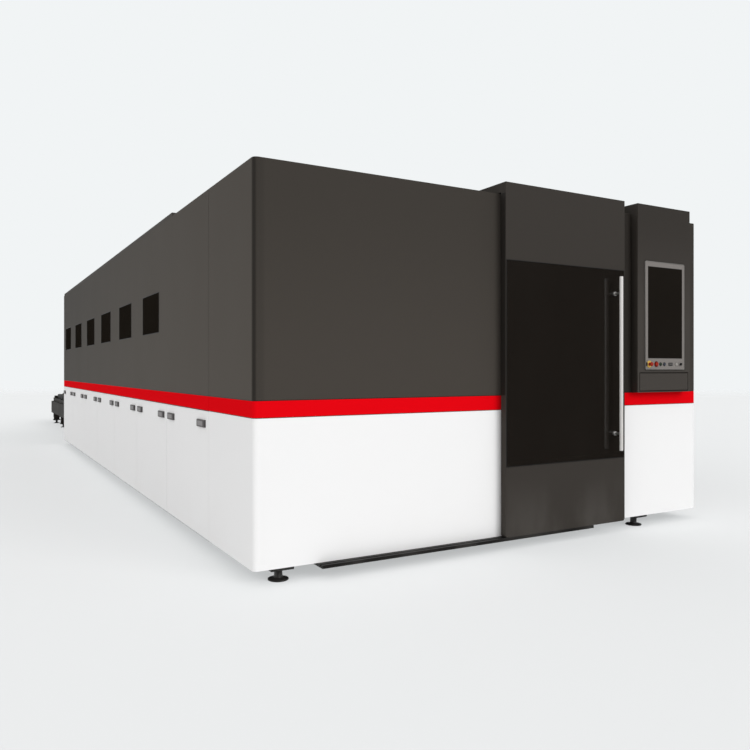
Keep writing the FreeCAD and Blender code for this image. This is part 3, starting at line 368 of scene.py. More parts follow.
def moulded(name, colour, roughness, grain=0.25, gloss=0.5):
    """Injection-moulded plastic: spark-eroded grain and polish where fingers touch."""
    plastic = finish(name, specular_ior_level=gloss)
    texture = plastic.noise(2600, 1)
    touch = plastic.noise(60, 3).between(0.45, 0.7)
    return plastic.shaded(
        base_color=plastic.blend(texture, shade(colour, 0.92), shade(colour, 1.08)),
        roughness=roughness - touch * 0.1 + texture * 0.05,
        normal=plastic.bump(texture, grain, 0.0002),
    )


def turned_copper(name):
    """Turned copper alloy: rings from the lathe, browned by heat near the jet."""
    copper = finish(name, metallic=1.0)
    rings = copper.noise(4200, 1, (0.02, 0.02, 1))
    brown = copper.noise(90, 4).between(0.4, 0.7)
    return copper.shaded(
        base_color=copper.blend(brown * 0.7, (0.78, 0.42, 0.24), (0.28, 0.12, 0.06)),
        roughness=0.2 + rings * 0.14 + brown * 0.2,
        normal=copper.bump(rings, 0.2, 0.0002),
    )


def dark_screen(name):
    """Touch screen switched off: near-black gloss glass with faint finger marks."""
    glass = finish(name, specular_ior_level=0.02)
    prints = glass.cells(34, (1, 1, 0.7)).between(0.3, 0.1) * glass.noise(4, 2).between(0.5, 0.6)
    tones = (0.0098, 0.0080, 0.0064), (0.0122, 0.0102, 0.0082)
    return glass.shaded(
        base_color=glass.blend(glass.noise(2, 2), *tones),
        roughness=0.06 + prints * 0.12,
    )


# The maker of each slot's finish, and what it is given after the name.
LOOKS = {
    "graphite_paint": (cover_coat_painted_light, (0.0500, 0.0438, 0.0374), 0.63, 0.07, 0.04),
    "door_paint": (powder_coat, (0.0412, 0.0360, 0.0312), 0.6, 0.08, 0.04),
    "red_paint": (powder_coat, (0.72, 0.002, 0.006), 0.85, 0.005, 0.02),
    "white_paint": (powder_coat, (0.838, 0.838, 0.838), 0.6, 0.05, 0.012, (0.7, 0.68, 0.65)),
    "roof_paint": (powder_coat, (0.058, 0.052, 0.046), 0.66, 0.1),
    "frame_paint": (machine_enamel, (0.30, 0.31, 0.32), 0.55),
    "bed_paint": (machine_enamel, (0.62, 0.63, 0.64), 0.45),
    "table_paint": (machine_enamel, (0.0265, 0.0228, 0.0198), 0.6, 0.15, 0.06),
    "pallet_paint": (machine_enamel, (0.026, 0.025, 0.024), 0.6, 0.3, 0.08),
    "slat_steel": (burnt_slat,),
    "ground_steel": (brushed, (0.66, 0.67, 0.68), 0.3, "Y"),
    "beam_alloy": (anodised, (0.74, 0.75, 0.77), 0.38),
    "head_alloy": (anodised, (0.16, 0.16, 0.17), 0.4),
    "nozzle_copper": (turned_copper,),
    "motor_black": (machine_enamel, (0.02, 0.02, 0.022), 0.4, 0.1),
    "rail_black": (powder_coat, (0.012, 0.011, 0.010), 0.5, 0.15),
    "handle_steel": (brushed, (0.70, 0.68, 0.66), 0.5, "Z", 0.1),
    "tinted_glass": (dark_pane, (0.0118, 0.0096, 0.0078), 0.6, 0.04),
    "window_glass": (dark_pane, (0.0112, 0.0090, 0.0068), 0.0, 0.04),
    "bezel_grey": (powder_coat, (0.198, 0.182, 0.170), 0.5, 0.15, 0.02),
    "screen_black": (dark_screen,),
    "keyboard_black": (moulded, (0.02, 0.02, 0.02), 0.5),
    "signal_red": (moulded, (0.29, 0.024, 0.012), 0.4, 0.05, 0.1),
    "signal_yellow": (moulded, (0.66, 0.43, 0.09), 0.4, 0.05, 0.1),
    "signal_green": (moulded, (0.026, 0.042, 0.026), 0.35, 0.05, 0.1),
    "signal_white": (moulded, (0.30, 0.285, 0.265), 0.4, 0.05, 0.1),
    "signal_blue": (moulded, (0.040, 0.048, 0.066), 0.35, 0.05, 0.1),
    "key_black": (moulded, (0.015, 0.015, 0.015), 0.4, 0.15),
    "foot_steel": (powder_coat, (0.014, 0.013, 0.012), 0.5),
}
FINISHES = {slot: maker(slot, *values) for slot, (maker, *values) in LOOKS.items()}


def dress_nodes():
    """Give each CAD node the finish of its slot. The operator's box and its drawer have a paint of
    their own, with painted shade towards the top.
    """
    shaded_box_paint = box_coat_painted_shade("box_coat_painted_shade", (0.0555, 0.0490, 0.0430), (0.0338, 0.0292, 0.0252))
    for entry in frame["record"]["subparts"]:
        own = entry["node"] in ("control_box", "keyboard_drawer")
        look = shaded_box_paint if own else FINISHES[entry["material_slot"]]
        for place in frame["nodes"][entry["node"]].material_slots:
            place.material = look


# ---------------------------------------------------------------- stage

# Towards each sun, its strength, and its width in degrees.
SUNS = {
    "front_sun": ((0.36, -0.83, 0.43), 1.24, 35),
    "left_sun": ((-0.80, -0.35, 0.50), 0.73, 50),
}

CAMERA_PLACE = (-3.1143, -10.3959, 1.1519)
CAMERA_TURN = (math.pi / 2, 0, -0.51795)
FOCAL_LENGTH, SENSOR_WIDTH = 34.51, 36
LENS_SHIFT = -0.0075


def placed(name, data):
    """A new object in the scene."""
    item = bpy.data.objects.new(name, data)
    bpy.context.collection.objects.link(item)
    return item


def studio_floor():
    """Pale floor with a thin shadow, unseen by mirrors, which fades to the backdrop far out."""
    half_size = 90.0
    fade_from, fade_to = 12, 40
    thinness = 0.5
    steps = np.linspace(-half_size, half_size, 13)
    x, y = np.meshgrid(steps, steps, indexing="ij")
    surface = Form.grid(np.stack([x, y, np.zeros_like(x)], -1))
    floor = finish("studio_floor")
    x, y = floor.axis("X"), floor.axis("Y")
    away = floor.node("ShaderNodeMath", {"operation": "SQRT"}, {0: x * x + y * y})
    tone = floor.blend(floor.noise(0.35, 2), (0.895, 0.897, 0.899), (0.912, 0.914, 0.916))
    matt = floor.node("ShaderNodeBsdfDiffuse", {}, {"Color": tone})
    clear = floor.node("ShaderNodeBsdfTransparent", {}, {})
    fade = (floor.ray("Camera") * thinness).most(away.between(fade_from, fade_to))
    floor.output(floor.mixed(fade.most(floor.ray("Glossy")), matt, clear))
    surface.made("studio_floor", floor.owner)


def studio_light():
    """Pale sky that lights softly and is black where a mirror looks to the front, and two suns."""
    world = bpy.data.worlds.new("studio")
    bpy.context.scene.world = world
    sky = Finish(world)
    seen = sky.ray("Camera").most(sky.ray("Glossy")).most(sky.ray("Transmission"))
    lamp = sky.background((1, 1, 1), 0.62)
    backdrop = sky.background((0.880, 0.905, 0.913), 1.0)
    flag = sky.background((0, 0, 0), 1.0)
    towards_front = sky.axis("Y").between(-0.2, -0.5)
    lit = sky.mixed(seen, lamp, backdrop)
    sky.output(sky.mixed(sky.ray("Glossy") * towards_front, lit, flag))
    for name, (towards, strength, width) in SUNS.items():
        sun = bpy.data.lights.new(name, "SUN")
        sun.energy = strength
        sun.angle = math.radians(width)
        item = placed(name, sun)
        item.rotation_mode = "QUATERNION"
        item.rotation_quaternion = Vector(towards).to_track_quat("Z", "Y")


def camera():
    """Level camera near the front left corner, at chest height."""
    lens = bpy.data.cameras.new("camera")
    lens.sensor_width = SENSOR_WIDTH
    lens.lens = FOCAL_LENGTH
    lens.shift_y = LENS_SHIFT
    item = placed("camera", lens)
    item.location = CAMERA_PLACE
    item.rotation_euler = CAMERA_TURN
    bpy.context.scene.camera = item


# ---------------------------------------------------------------- surfaces

# For each side of the machine: where a form's own X, Y and Z point when it is turned there.
SIDES = {
    "front": ((1, 0, 0), (0, 0, 1), (0, -1, 0)),
    "left": ((0, -1, 0), (0, 0, 1), (-1, 0, 0)),
    "right": ((0, 1, 0), (0, 0, 1), (1, 0, 0)),
}
MERGE_WITHIN = 2e-6
SHARP_FROM = math.radians(32)


class Form:
    """A closed surface: its points and four-sided faces, as whole arrays."""

    def __init__(self, points, faces):
        self.points = np.asarray(points, float).reshape(-1, 3)
        self.faces = np.asarray(faces, int).reshape(-1, 4)

    @classmethod
    def grid(cls, points, closed_rows=False, closed_columns=False):
        """Faces between neighbours in a grid of points, which may close on itself either way."""
        rows, columns = points.shape[:2]
        row = np.arange(rows if closed_rows else rows - 1)[:, None]
        column = np.arange(columns if closed_columns else columns - 1)[None]
        next_row = (row + 1) % rows
        next_column = (column + 1) % columns
        corners = (row * columns + column, row * columns + next_column,
                   next_row * columns + next_column, next_row * columns + column)
        return cls(points, np.stack(np.broadcast_arrays(*corners), -1))

    def __add__(self, other):
        faces = np.concatenate([self.faces, other.faces + len(self.points)])
        return Form(np.concatenate([self.points, other.points]), faces)

    def with_faces(self, *faces):
        """The same points with more faces."""
        return Form(self.points, np.concatenate([self.faces, *faces]))

    def capped(self, count):
        """Close both ends of a tube whose four rows have count points each."""
        ends = np.arange(4)[None] * count
        return self.with_faces(ends, ends + count - 1)

    def facing(self, side):
        """Turn the form so that its own Z points out of that side of the machine."""
        return Form(self.points @ np.array(SIDES[side], float), self.faces)

    def at(self, *places):
        """One copy at each place."""
        spots = np.asarray(places, float).reshape(-1, 3)
        points = self.points[None] + spots[:, None]
        steps = np.arange(len(spots))[:, None, None] * len(self.points)
        return Form(points, self.faces[None] + steps)

    def made(self, name, finish_used):
        """The mesh object. Doubled points at poles and seams are merged, and faces turned out."""
        mesh = bpy.data.meshes.new(name)
        mesh.from_pydata(self.points.tolist(), [], self.faces.tolist())
        work = bmesh.new()
        work.from_mesh(mesh)
        bmesh.ops.remove_doubles(work, verts=work.verts, dist=MERGE_WITHIN)
        bmesh.ops.recalc_face_normals(work, faces=work.faces)
        work.to_mesh(mesh)
        work.free()
        mesh.polygons.foreach_set("use_smooth", np.ones(len(mesh.polygons), bool))
        mesh.set_sharp_from_angle(angle=SHARP_FROM)
        mesh.materials.append(finish_used)
        return placed(name, mesh)


def joined(forms):
    """One form of several, in their order."""
    total = forms[0]
    for form in forms[1:]:
        total = total + form
    return total


def piece(name, form, slot, body, replaces=(), look=None):
    """A finished piece that rides on a body, in the finish of a slot."""
    item = form.made(name, look or FINISHES[slot])
    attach(item, body)
    if replaces:
        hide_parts(*replaces)
    return item


def seat(node, depth=None):
    """Middle of a node's box seen from the front, at a depth in Y, or at the box's own front."""
    low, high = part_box(node)
    return (low.x + high.x) / 2, low.y if depth is None else depth, (low.z + high.z) / 2


def lathe(profile, sides):
    """Surface of revolution: each (radius, height) of the profile is carried round Z."""
    radius, height = np.array(profile, float).T[:, :, None]
    angle = np.linspace(0, 2 * math.pi, sides, endpoint=False)[None]
    points = (radius * np.cos(angle), radius * np.sin(angle), height + 0 * angle)
    return Form.grid(np.stack(points, -1), closed_columns=True)


def round_rectangle(width, depth, corner, inset):
    """Rectangle whose corners are quarter circles, drawn in by inset, as a loop of points."""
    inset = np.asarray(inset, float)[:, None]
    turn = np.linspace(0, math.pi / 2, 5)
    angle = (turn[None] + np.arange(4)[:, None] * math.pi / 2).ravel()
    x_side = np.repeat([1, -1, -1, 1], len(turn))
    y_side = np.repeat([1, 1, -1, -1], len(turn))
    bend = np.maximum(corner - inset, 0.0)
    reach = np.maximum(inset - corner, 0.0)
    x = x_side * (width / 2 - corner - reach) + bend * np.cos(angle)
    y = y_side * (depth / 2 - corner - reach) + bend * np.sin(angle)
    return x, y


def rings_of(width, depth, corner, levels):
    """The round-cornered rectangle at each (inset, height) of the levels, as a grid of points."""
    inset, height = np.array(levels, float).T
    x, y = round_rectangle(width, depth, corner, inset)
    return np.stack([x, y, np.broadcast_to(height[:, None], x.shape)], -1)


def slab(width, depth, corner, levels):
    """Block: its round-cornered outline, drawn in by (inset, height) at each level, closed in."""
    rings = rings_of(width, depth, corner, levels)
    first, last = rings[:1] * (0, 0, 1), rings[-1:] * (0, 0, 1)
    return Form.grid(np.concatenate([first, rings, last]), closed_columns=True)


def moulding(width, depth, corner, profile):
    """Profile of (inset, height) carried round a round-cornered rectangle, closed both ways."""
    rings = rings_of(width, depth, corner, profile)
    return Form.grid(rings, closed_rows=True, closed_columns=True)


def eased(width, depth, tall, edge, corner):
    """Slab from height 0 to tall whose upper and lower edges are eased in two steps."""
    levels = ((edge, 0), (edge * 0.3, edge * 0.3), (0, edge))
    top = tuple((inset, tall - height) for inset, height in reversed(levels))
    return slab(width, depth, max(corner, edge), levels + top)


def blade(stations, heights, thickness):
    """Strip on edge along X: level below, its upper edge at the given height at each station."""
    x = np.asarray(stations, float)
    top = np.asarray(heights, float)
    low = np.zeros_like(x)
    half = thickness / 2
    corners = [(-half, low), (half, low), (half, top), (-half, top)]
    points = np.stack([np.stack([x, np.full_like(x, y), z], -1) for y, z in corners], 0)
    return Form.grid(points, closed_rows=True).capped(len(x))


def screw(radius):
    """Pan-head screw with a socket: a low dome that dips in the middle."""
    profile = ((0, 0), (1, 0), (1, 0.25), (0.8, 0.6), (0.45, 0.7), (0.38, 0.25), (0, 0.22))
    return lathe(np.array(profile) * radius, sides=12)


def bolt(radius):
    """Hexagon bolt on its washer: a six-sided head, chamfered at the top."""
    head = ((0, 0.2), (1, 0.2), (1, 0.75), (0.86, 0.9), (0, 0.9))
    washer = ((0, 0), (1.35, 0), (1.35, 0.16), (1.25, 0.2), (0, 0.2))
    return lathe(np.array(head) * radius, sides=6) + lathe(np.array(washer) * radius, sides=18)


# ---------------------------------------------------------------- operator door

STANDOFF = (
    (0, 0), (0.0145, 0), (0.0150, 0.001), (0.0150, 0.012), (0.0140, 0.0155), (0.0115, 0.018),
    (0.0092, 0.019), (0.0088, 0.021),
)
SEAL_BEAD = (
    (-0.0030, 0.0), (-0.0028, 0.0010), (-0.0012, 0.0018), (0.0012, 0.0018), (0.0028, 0.0010),
    (0.0030, 0.0), (0.0, -0.0010),
)


def handle_bar():
    """Long bar handle with eased ends, and its two standoffs on their domed rosettes."""
    low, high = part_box("door_handle")
    radius, from_middle = 0.0125, 0.4885
    x, y = high.x - radius, low.y + radius
    tall, middle = high.z - low.z, (low.z + high.z) / 2
    end = ((0, 0), (radius * 0.8, 0), (radius * 0.95, 0.0012), (radius, 0.004))
    other_end = tuple((across, tall - height) for across, height in reversed(end))
    bar = lathe(end + other_end, sides=48)
    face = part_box("door_glass")[0].y
    reach = face - y
    post = lathe((*STANDOFF, (STANDOFF[-1][0], reach), (0, reach)), sides=40)
    posts = [(x, face, middle + side * from_middle) for side in (-1, 1)]
    piece("handle_bar", bar.at((x, y, low.z)), "handle_steel", "sliding_door", ["door_handle"])
    bright = brushed("post_steel", (0.57, 0.548, 0.527), 0.3, "X")
    post = post.facing("front").at(*posts)
    piece("handle_posts", post, "handle_steel", "sliding_door", look=bright)


def edge_seals_painted_shade():
    """Brush strip down the leaf's left edge, and a strip in pleats, |sin|, between leaf and box,
    with a liner on the box's side: painted shade, near-black where the leaf's side and the niche
    lie in shade.
    """
    clear, leaf_depth = 0.004, 0.046
    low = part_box("door_glass")[0]
    shell_low, shell_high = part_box("door_shell")
    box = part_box("control_box")[0]
    stripe_low, stripe_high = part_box("right_stripe")
    foot, head = stripe_high.z + clear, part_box("roof_front")[1].z - clear
    front = stripe_low.y
    tall, middle = head - foot, (foot + head) / 2

    strip = eased(0.043, tall, 0.0024, 0.0008, 0.002).facing("left")
    where = (shell_low.x, (low.y + (low.y + leaf_depth)) / 2, middle)
    # Painted shade: the brush strip is a near-black stand-in for the shade on the leaf's left side.
    brush_painted_shade = powder_coat("brush_black_painted_shade", (0.0165, 0.0140, 0.0115), 0.7, 0.15)
    piece("door_edge_seal_painted_shade", strip.at(where), "rail_black", "sliding_door", look=brush_painted_shade)

    count, pleats = 61, 10
    flat, fold = 0.0022, 0.0022
    across = np.linspace(shell_high.x + 0.006, box.x - 0.001, count)
    proud = flat + fold * np.abs(np.sin(np.linspace(0, pleats * math.pi, count)))
    depth = np.stack([np.zeros(count), proud, proud, np.zeros(count)])
    height = np.array([foot, foot, head, head])[:, None] + 0 * depth
    points = np.stack([np.broadcast_to(across, depth.shape), front - depth, height], -1)
    bellows = Form.grid(points, closed_rows=True).capped(count)
    # Painted shade: the pleated strip and the liner are near-black stand-ins for the shade in the
    # niche between leaf and box.
    shade_liner = eased(0.058, tall, 0.002, 0.0006, 0.002).facing("left")
    strip = bellows + shade_liner.at((box.x, (box.y + front) / 2, middle))
    painted_shade_rubber = powder_coat("closing_rubber_painted_shade", (0.0285, 0.0240, 0.0198), 0.7, 0.15)
    piece("closing_strip_painted_shade", strip, "rail_black", "cabin", look=painted_shade_rubber)


def seam_cord(edge, inward, end, front, rear):
    """Square cord: its line runs up one side, round a quarter circle and along the front."""
    corner, outer, inner, half = 0.030, 0.001, 0.004, 0.0018
    rows = []
    turn = np.linspace(0, math.pi / 2, 9)
    for inset, lift in ((outer, -half), (outer, half), (inner, half), (inner, -half)):
        bend = corner - inset
        round_x = edge + inward * (corner - bend * np.cos(turn))
        round_y = front + corner - bend * np.sin(turn)
        x = np.concatenate([[edge + inward * inset], round_x, [end]])
        y = np.concatenate([[rear], round_y, [front + inset]])
        rows.append(np.stack([x, y, np.full_like(x, lift)], -1))
    return Form.grid(np.stack(rows), closed_rows=True).capped(len(x))


def seam_fillers():
    """Rubber cords in the seams above and below the red band, round both front corners."""
    half_seam = 0.002
    left_low, left_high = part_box("left_stripe")
    right_low, right_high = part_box("right_stripe")
    left = seam_cord(left_low.x, 1, left_high.x, left_low.y, left_high.y)
    right = seam_cord(right_high.x, -1, right_low.x, right_low.y, right_high.y)
    seams = [(0, 0, left_low.z - half_seam), (0, 0, left_high.z + half_seam)]
    piece("seam_fillers", (left + right).at(*seams), "rail_black", "cabin")


def pane_seals():
    """Rubber seals: a soft half-round bead carried round each pane, on the joint with its cover."""
    corner, pane_wide, panes = 0.004, 0.59, 6
    low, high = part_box("door_glass")
    form = moulding(high.x - low.x, high.z - low.z, corner, SEAL_BEAD).facing("front")
    piece("door_seal", form.at(seat("door_glass")), "rail_black", "sliding_door")
    low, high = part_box("side_windows")
    form = moulding(pane_wide, high.z - low.z, corner, SEAL_BEAD)
    places = np.linspace(low.y + pane_wide / 2, high.y - pane_wide / 2, panes)
    middle = (low.z + high.z) / 2
    left = form.facing("left").at(*[(low.x, y, middle) for y in places])
    right = form.facing("right").at(*[(high.x, y, middle) for y in places])
    piece("window_seals", left + right, "rail_black", "cabin")


# ---------------------------------------------------------------- operator station

# Each push button's slot, and how wide its ring is beyond the button.
BUTTONS = {
    "stop": ("signal_red", 0.0075),
    "start": ("signal_green", 0.0042),
    "reset": ("signal_blue", 0.0042),
    "light": ("signal_white", 0.0042),
}
ESTOP_COLLAR = (
    (0.0117, 0), (0.025, 0), (0.025, 0.0016), (0.0238, 0.003), (0.0180, 0.003),
    (0.0168, 0.0022), (0.0155, 0.003), (0.0117, 0.003), (0.0117, 0),
)
LIP_PROFILE = ((-0.0008, 0), (-0.0008, 0.0009), (0, 0.0012), (0.0008, 0.0009), (0.0008, 0))
RIM_PROFILE = (
    (0.0, -0.006), (0.0, -0.0006), (0.0009, 0.0007), (0.0038, 0.0012), (0.0052, 0.0004),
    (0.0054, -0.002),
)
JOINT_PROFILE = (
    (-0.0006, -0.001), (-0.0006, 0.0003), (0.0010, 0.0005), (0.0016, 0.0001), (0.0016, -0.001),
)
CAP_LEVELS = ((0.0, 0.0), (0.0004, 0.0022), (0.0012, 0.0046), (0.0022, 0.0052))


def push_button(radius, rise, sunk):
    """Button: a shaft whose rim is eased and whose face is dished, from its hole to its face."""
    profile = (
        (0, -sunk), (radius, -sunk), (radius, rise - 0.0015), (radius * 0.93, rise - 0.0003),
        (radius * 0.84, rise), (radius * 0.5, rise - 0.0009), (0, rise - 0.0013),
    )
    return lathe(profile, sides=48)


def button_ring(inner, outer):
    """Ring turned from a rectangle whose outer upper edge is chamfered."""
    tall, chamfer = 0.0024, 0.001
    profile = ((inner, 0), (outer, 0), (outer, tall - chamfer), (outer - chamfer, tall),
               (inner, tall), (inner, 0))
    return lathe(profile, sides=48)


def push_buttons():
    """Dished push buttons, each in a chamfered ring."""
    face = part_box("screen_bezel")[0].y
    dark_rings = []
    for name, (slot, ring_wide) in BUTTONS.items():
        node = f"{name}_button"
        low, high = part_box(node)
        radius = (high.z - low.z) / 2
        centre = seat(node, face)
        button = push_button(radius, face - low.y, high.y - face).facing("front").at(centre)
        piece(f"{name}_cap", button, slot, name, [node])
        ring = button_ring(radius + 0.0006, radius + ring_wide).facing("front").at(centre)
        if name == "light":
            piece("light_ring", ring, "bezel_grey", "cabin")
        elif name == "stop":
            dark_red = moulded("ring_red", (0.115, 0.008, 0.006), 0.4, 0.05, 0.1)
            piece("stop_ring", ring, "signal_red", "cabin", look=dark_red)
        else:
            dark_rings.append(ring)
    piece("button_rings", joined(dark_rings), "key_black", "cabin")


def emergency_stop():
    """Mushroom head on its stem, the yellow collar round it, and the pivot at the collar's side."""
    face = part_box("screen_bezel")[0].y
    low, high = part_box("estop_button")
    centre = seat("estop_button", face)
    rise, sunk = face - low.y, face - high.y
    stem, head = 0.011, 0.0155
    crown = rise - 0.015
    mushroom = lathe((
        (0, sunk), (stem, sunk), (stem, crown), (head * 0.93, crown), (head, crown + 0.0018),
        (head, crown + 0.0055), (head * 0.93, crown + 0.0092), (head * 0.78, crown + 0.0122),
        (head * 0.5, crown + 0.0143), (0, rise),
    ), sides=56).facing("front").at(centre)
    piece("estop_mushroom", mushroom, "signal_red", "estop", ["estop_button"])
    collar = lathe(ESTOP_COLLAR, sides=64).facing("front").at(centre)
    piece("estop_collar", collar, "signal_yellow", "cabin", ["estop_ring"])
    pivot_out = 0.0272
    pivot = eased(0.0115, 0.027, 0.0055, 0.0012, 0.004).facing("front")
    pivot = pivot.at((centre[0] - pivot_out, face, centre[2]))
    piece("guard_pivot", pivot, "key_black", "cabin")


def key_and_sockets():
    """Key switch with its collar, and the plate with two sockets beside it."""
    low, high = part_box("key_switch")
    centre = seat("key_switch", high.y)
    radius = (high.z - low.z) / 2
    sunk_face = 0.0078
    barrel = lathe((
        (0, 0), (radius * 0.8, 0), (radius * 0.8, 0.0080), (radius * 0.72, 0.009),
        (radius * 0.5, 0.009), (radius * 0.46, sunk_face), (0, sunk_face),
    ), sides=48)
    grip = eased(0.006, radius * 1.6, 0.0102, 0.0012, 0.0025).at((0, 0, sunk_face))
    knob = (barrel + grip).facing("front").at(centre)
    piece("key_knob", knob, "key_black", "key", ["key_switch"])
    inner, tall = radius * 0.82, 0.0055
    collar = lathe((
        (inner, 0), (radius, 0), (radius, 0.0045), (radius * 0.96, tall), (inner, tall), (inner, 0),
    ), sides=48)
    piece("key_collar", collar.facing("front").at(centre), "bezel_grey", "key")

    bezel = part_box("screen_bezel")[0]
    row = centre[2]
    plate_x, lips_x, plate_face = 0.272, (0.2615, 0.2785), 0.0020
    plate = eased(0.046, 0.024, 0.0022, 0.0007, 0.004).facing("front")
    piece("socket_plate", plate.at((bezel.x + plate_x, bezel.y, row)), "key_black", "cabin")
    lip = moulding(0.0145, 0.0062, 0.0008, LIP_PROFILE).facing("front")
    lips = lip.at(*[(bezel.x + x, bezel.y - plate_face, row) for x in lips_x])
    piece("socket_lips", lips, "bezel_grey", "cabin")


def screen_trim():
    """Bright chamfered edge carried round the bezel, and a thin dark joint round the screen."""
    overlap, bezel_corner, screen_corner = 0.0008, 0.0144, 0.002
    low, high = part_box("screen_bezel")
    wide, tall = high.x - low.x + overlap, high.z - low.z + overlap
    rim = moulding(wide, tall, bezel_corner, RIM_PROFILE).facing("front").at(seat("screen_bezel"))
    steel = brushed("rim_steel", (0.25, 0.24, 0.225), 0.5, "Z")
    piece("bezel_rim", rim, "bezel_grey", "cabin", look=steel)
    low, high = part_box("screen_glass")
    joint = moulding(high.x - low.x, high.z - low.z, screen_corner, JOINT_PROFILE)
    piece("screen_joint", joint.facing("front").at(seat("screen_glass")), "key_black", "cabin")


def drawer_keys():
    """Keys of the keyboard in the drawer: rows of small caps on its slope, and the long bar."""
    low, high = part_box("keyboard")
    pitch, cap_side, cap_corner = 0.0186, 0.0165, 0.0025
    columns, rows = 21, 6
    bar_columns, gap_column = range(4, 10), 15
    front_row, back_row_gap = low.y + 0.018, 0.004
    first = (low.x + high.x) / 2 - pitch * (columns - 1) / 2
    slope = (high.z - low.z) * 0.55 / (high.y - low.y)

    def on_slope(x, y):
        """Place at x and y on the case: 0.45 of its height at the front, rising in a line."""
        return x, y, low.z + (high.z - low.z) * 0.45 + (y - low.y) * slope - 0.0006

    places = []
    for row in range(rows):
        y = front_row + row * pitch + (back_row_gap if row == rows - 1 else 0)
        for column in range(columns):
            if column == gap_column or row == 0 and column in bar_columns:
                continue
            places.append(on_slope(first + column * pitch, y))
    cap = slab(cap_side, cap_side, cap_corner, CAP_LEVELS)
    bar = slab(cap_side + pitch * (len(bar_columns) - 1), cap_side, cap_corner, CAP_LEVELS)
    bar_middle = (bar_columns[0] + bar_columns[-1]) / 2
    form = cap.at(*places) + bar.at(on_slope(first + pitch * bar_middle, front_row))
    piece("keyboard_caps", form, "keyboard_black", "drawer")


# ---------------------------------------------------------------- lift-off panels

def grip_shell(wide, tall, proud, skirt):
    """Moulded cap: its height along it is proud * (1 - u^24)^0.5, with u from -1 to 1."""
    across = np.array([-1, -1, -0.99, -0.97, -0.94, 0.0, 0.94, 0.97, 0.99, 1, 1])[None]
    ease = np.array([0, 0.86, 0.93, 0.98, 1, 1.02, 1, 0.98, 0.93, 0.86, 0])[None]
    u = np.sin(np.linspace(-math.pi / 2, math.pi / 2, 33))[:, None]
    bulge = np.sqrt(np.clip(1 - u ** 24, 0, 1))
    z = bulge * ease * proud - skirt
    x = np.broadcast_to(u * wide / 2, z.shape)
    y = np.broadcast_to(across * tall / 2, z.shape)
    front = np.stack([x, y, z], -1)
    back = front * (1, 1, 0) - (0, 0, skirt)
    return Form.grid(front) + Form.grid(back[::-1])


def panel_grips():
    """A cap over each grip, with a paler plate let in to its middle, on that grip's own panel."""
    grip_foot, half_tall, half_wide = 0.705, 0.022, 0.084
    from_edge, pan_behind, plate_lift = 0.065, 0.014, 0.0002
    cap_look = moulded("grip_cap", (0.070, 0.064, 0.064), 0.6, 0.3)
    plate_look = powder_coat("grip_plate", (0.255, 0.245, 0.245), 0.6, 0.1, 0.02)
    cap = grip_shell(0.1710, 0.0472, 0.0146, 0.0005).facing("left")
    plate = slab(0.116, 0.029, 0.005, ((0.0, -0.002), (0.0, 0.0007), (0.0007, 0.0012)))
    plate = plate.facing("left")
    for number in range(1, 8):
        body = f"side_panel_{number}"
        low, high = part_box(f"left_panel_{number}")
        middle = low.z + grip_foot + half_tall
        ends = low.y + from_edge + half_wide, high.y - from_edge - half_wide
        caps = cap.at(*[(low.x + pan_behind, y, middle) for y in ends])
        plates = plate.at(*[(low.x - plate_lift, y, middle) for y in ends])
        piece(f"grip_caps_{number}", caps, "key_black", body, look=cap_look)
        piece(f"grip_plates_{number}", plates, "bezel_grey", body, look=plate_look)


# ---------------------------------------------------------------- feet

FOOT_DISC = (
    (0, 0), (0.0560, 0), (0.0575, 0.002), (0.0575, 0.006), (0.0560, 0.008), (0.047, 0.0105),
    (0.034, 0.0128), (0.026, 0.0155), (0.024, 0.019), (0.0230, 0.021), (0.0230, 0.056),
    (0.0215, 0.058), (0, 0.058),
)
FOOT_NUT = (
    (0, 0.056), (0.029, 0.056), (0.0305, 0.0575), (0.0305, 0.0625), (0.029, 0.064), (0, 0.064),
)


def machine_feet():
    """Domed disc on its rubber ring, threaded sleeve with a hexagon nut, and the plate above it."""
    low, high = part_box("levelling_feet")
    half, plate_foot = 0.0675, 0.064
    left, right, front, back = low.x + half, high.x - half, low.y + half, high.y - half
    side_rows = np.linspace(front + 0.975, back - 4.965, 6)
    table_rows = np.linspace(back - 3.84, back, 4)
    table_inset, front_right_inset = 0.215, 0.44
    places = [(left, front, 0), (right - front_right_inset, front, 0)]
    places += [(x, y, 0) for x in (left, right) for y in side_rows]
    places += [(x, y, 0) for x in (left + table_inset, right - table_inset) for y in table_rows]
    plate = eased(0.1345, 0.1345, 0.016, 0.0015, 0.004).at((0, 0, plate_foot))
    form = lathe(FOOT_DISC, sides=36) + lathe(FOOT_NUT, sides=6) + plate
    piece("machine_feet", form.at(*places), "foot_steel", "cabin", ["levelling_feet"])


# ---------------------------------------------------------------- machine inside

RAIL_PLUG = (
    (0, 0), (0.0075, 0), (0.0075, 0.0005), (0.0068, 0.0008), (0.0030, 0.0003), (0, 0.0003),
)
WHEEL_HUB = (
    (0, 0), (0.020, 0), (0.020, 0.0012), (0.016, 0.0020), (0.0115, 0.0020), (0.0105, 0.0038),
    (0.0040, 0.0038), (0.0034, 0.0026), (0, 0.0026),
)
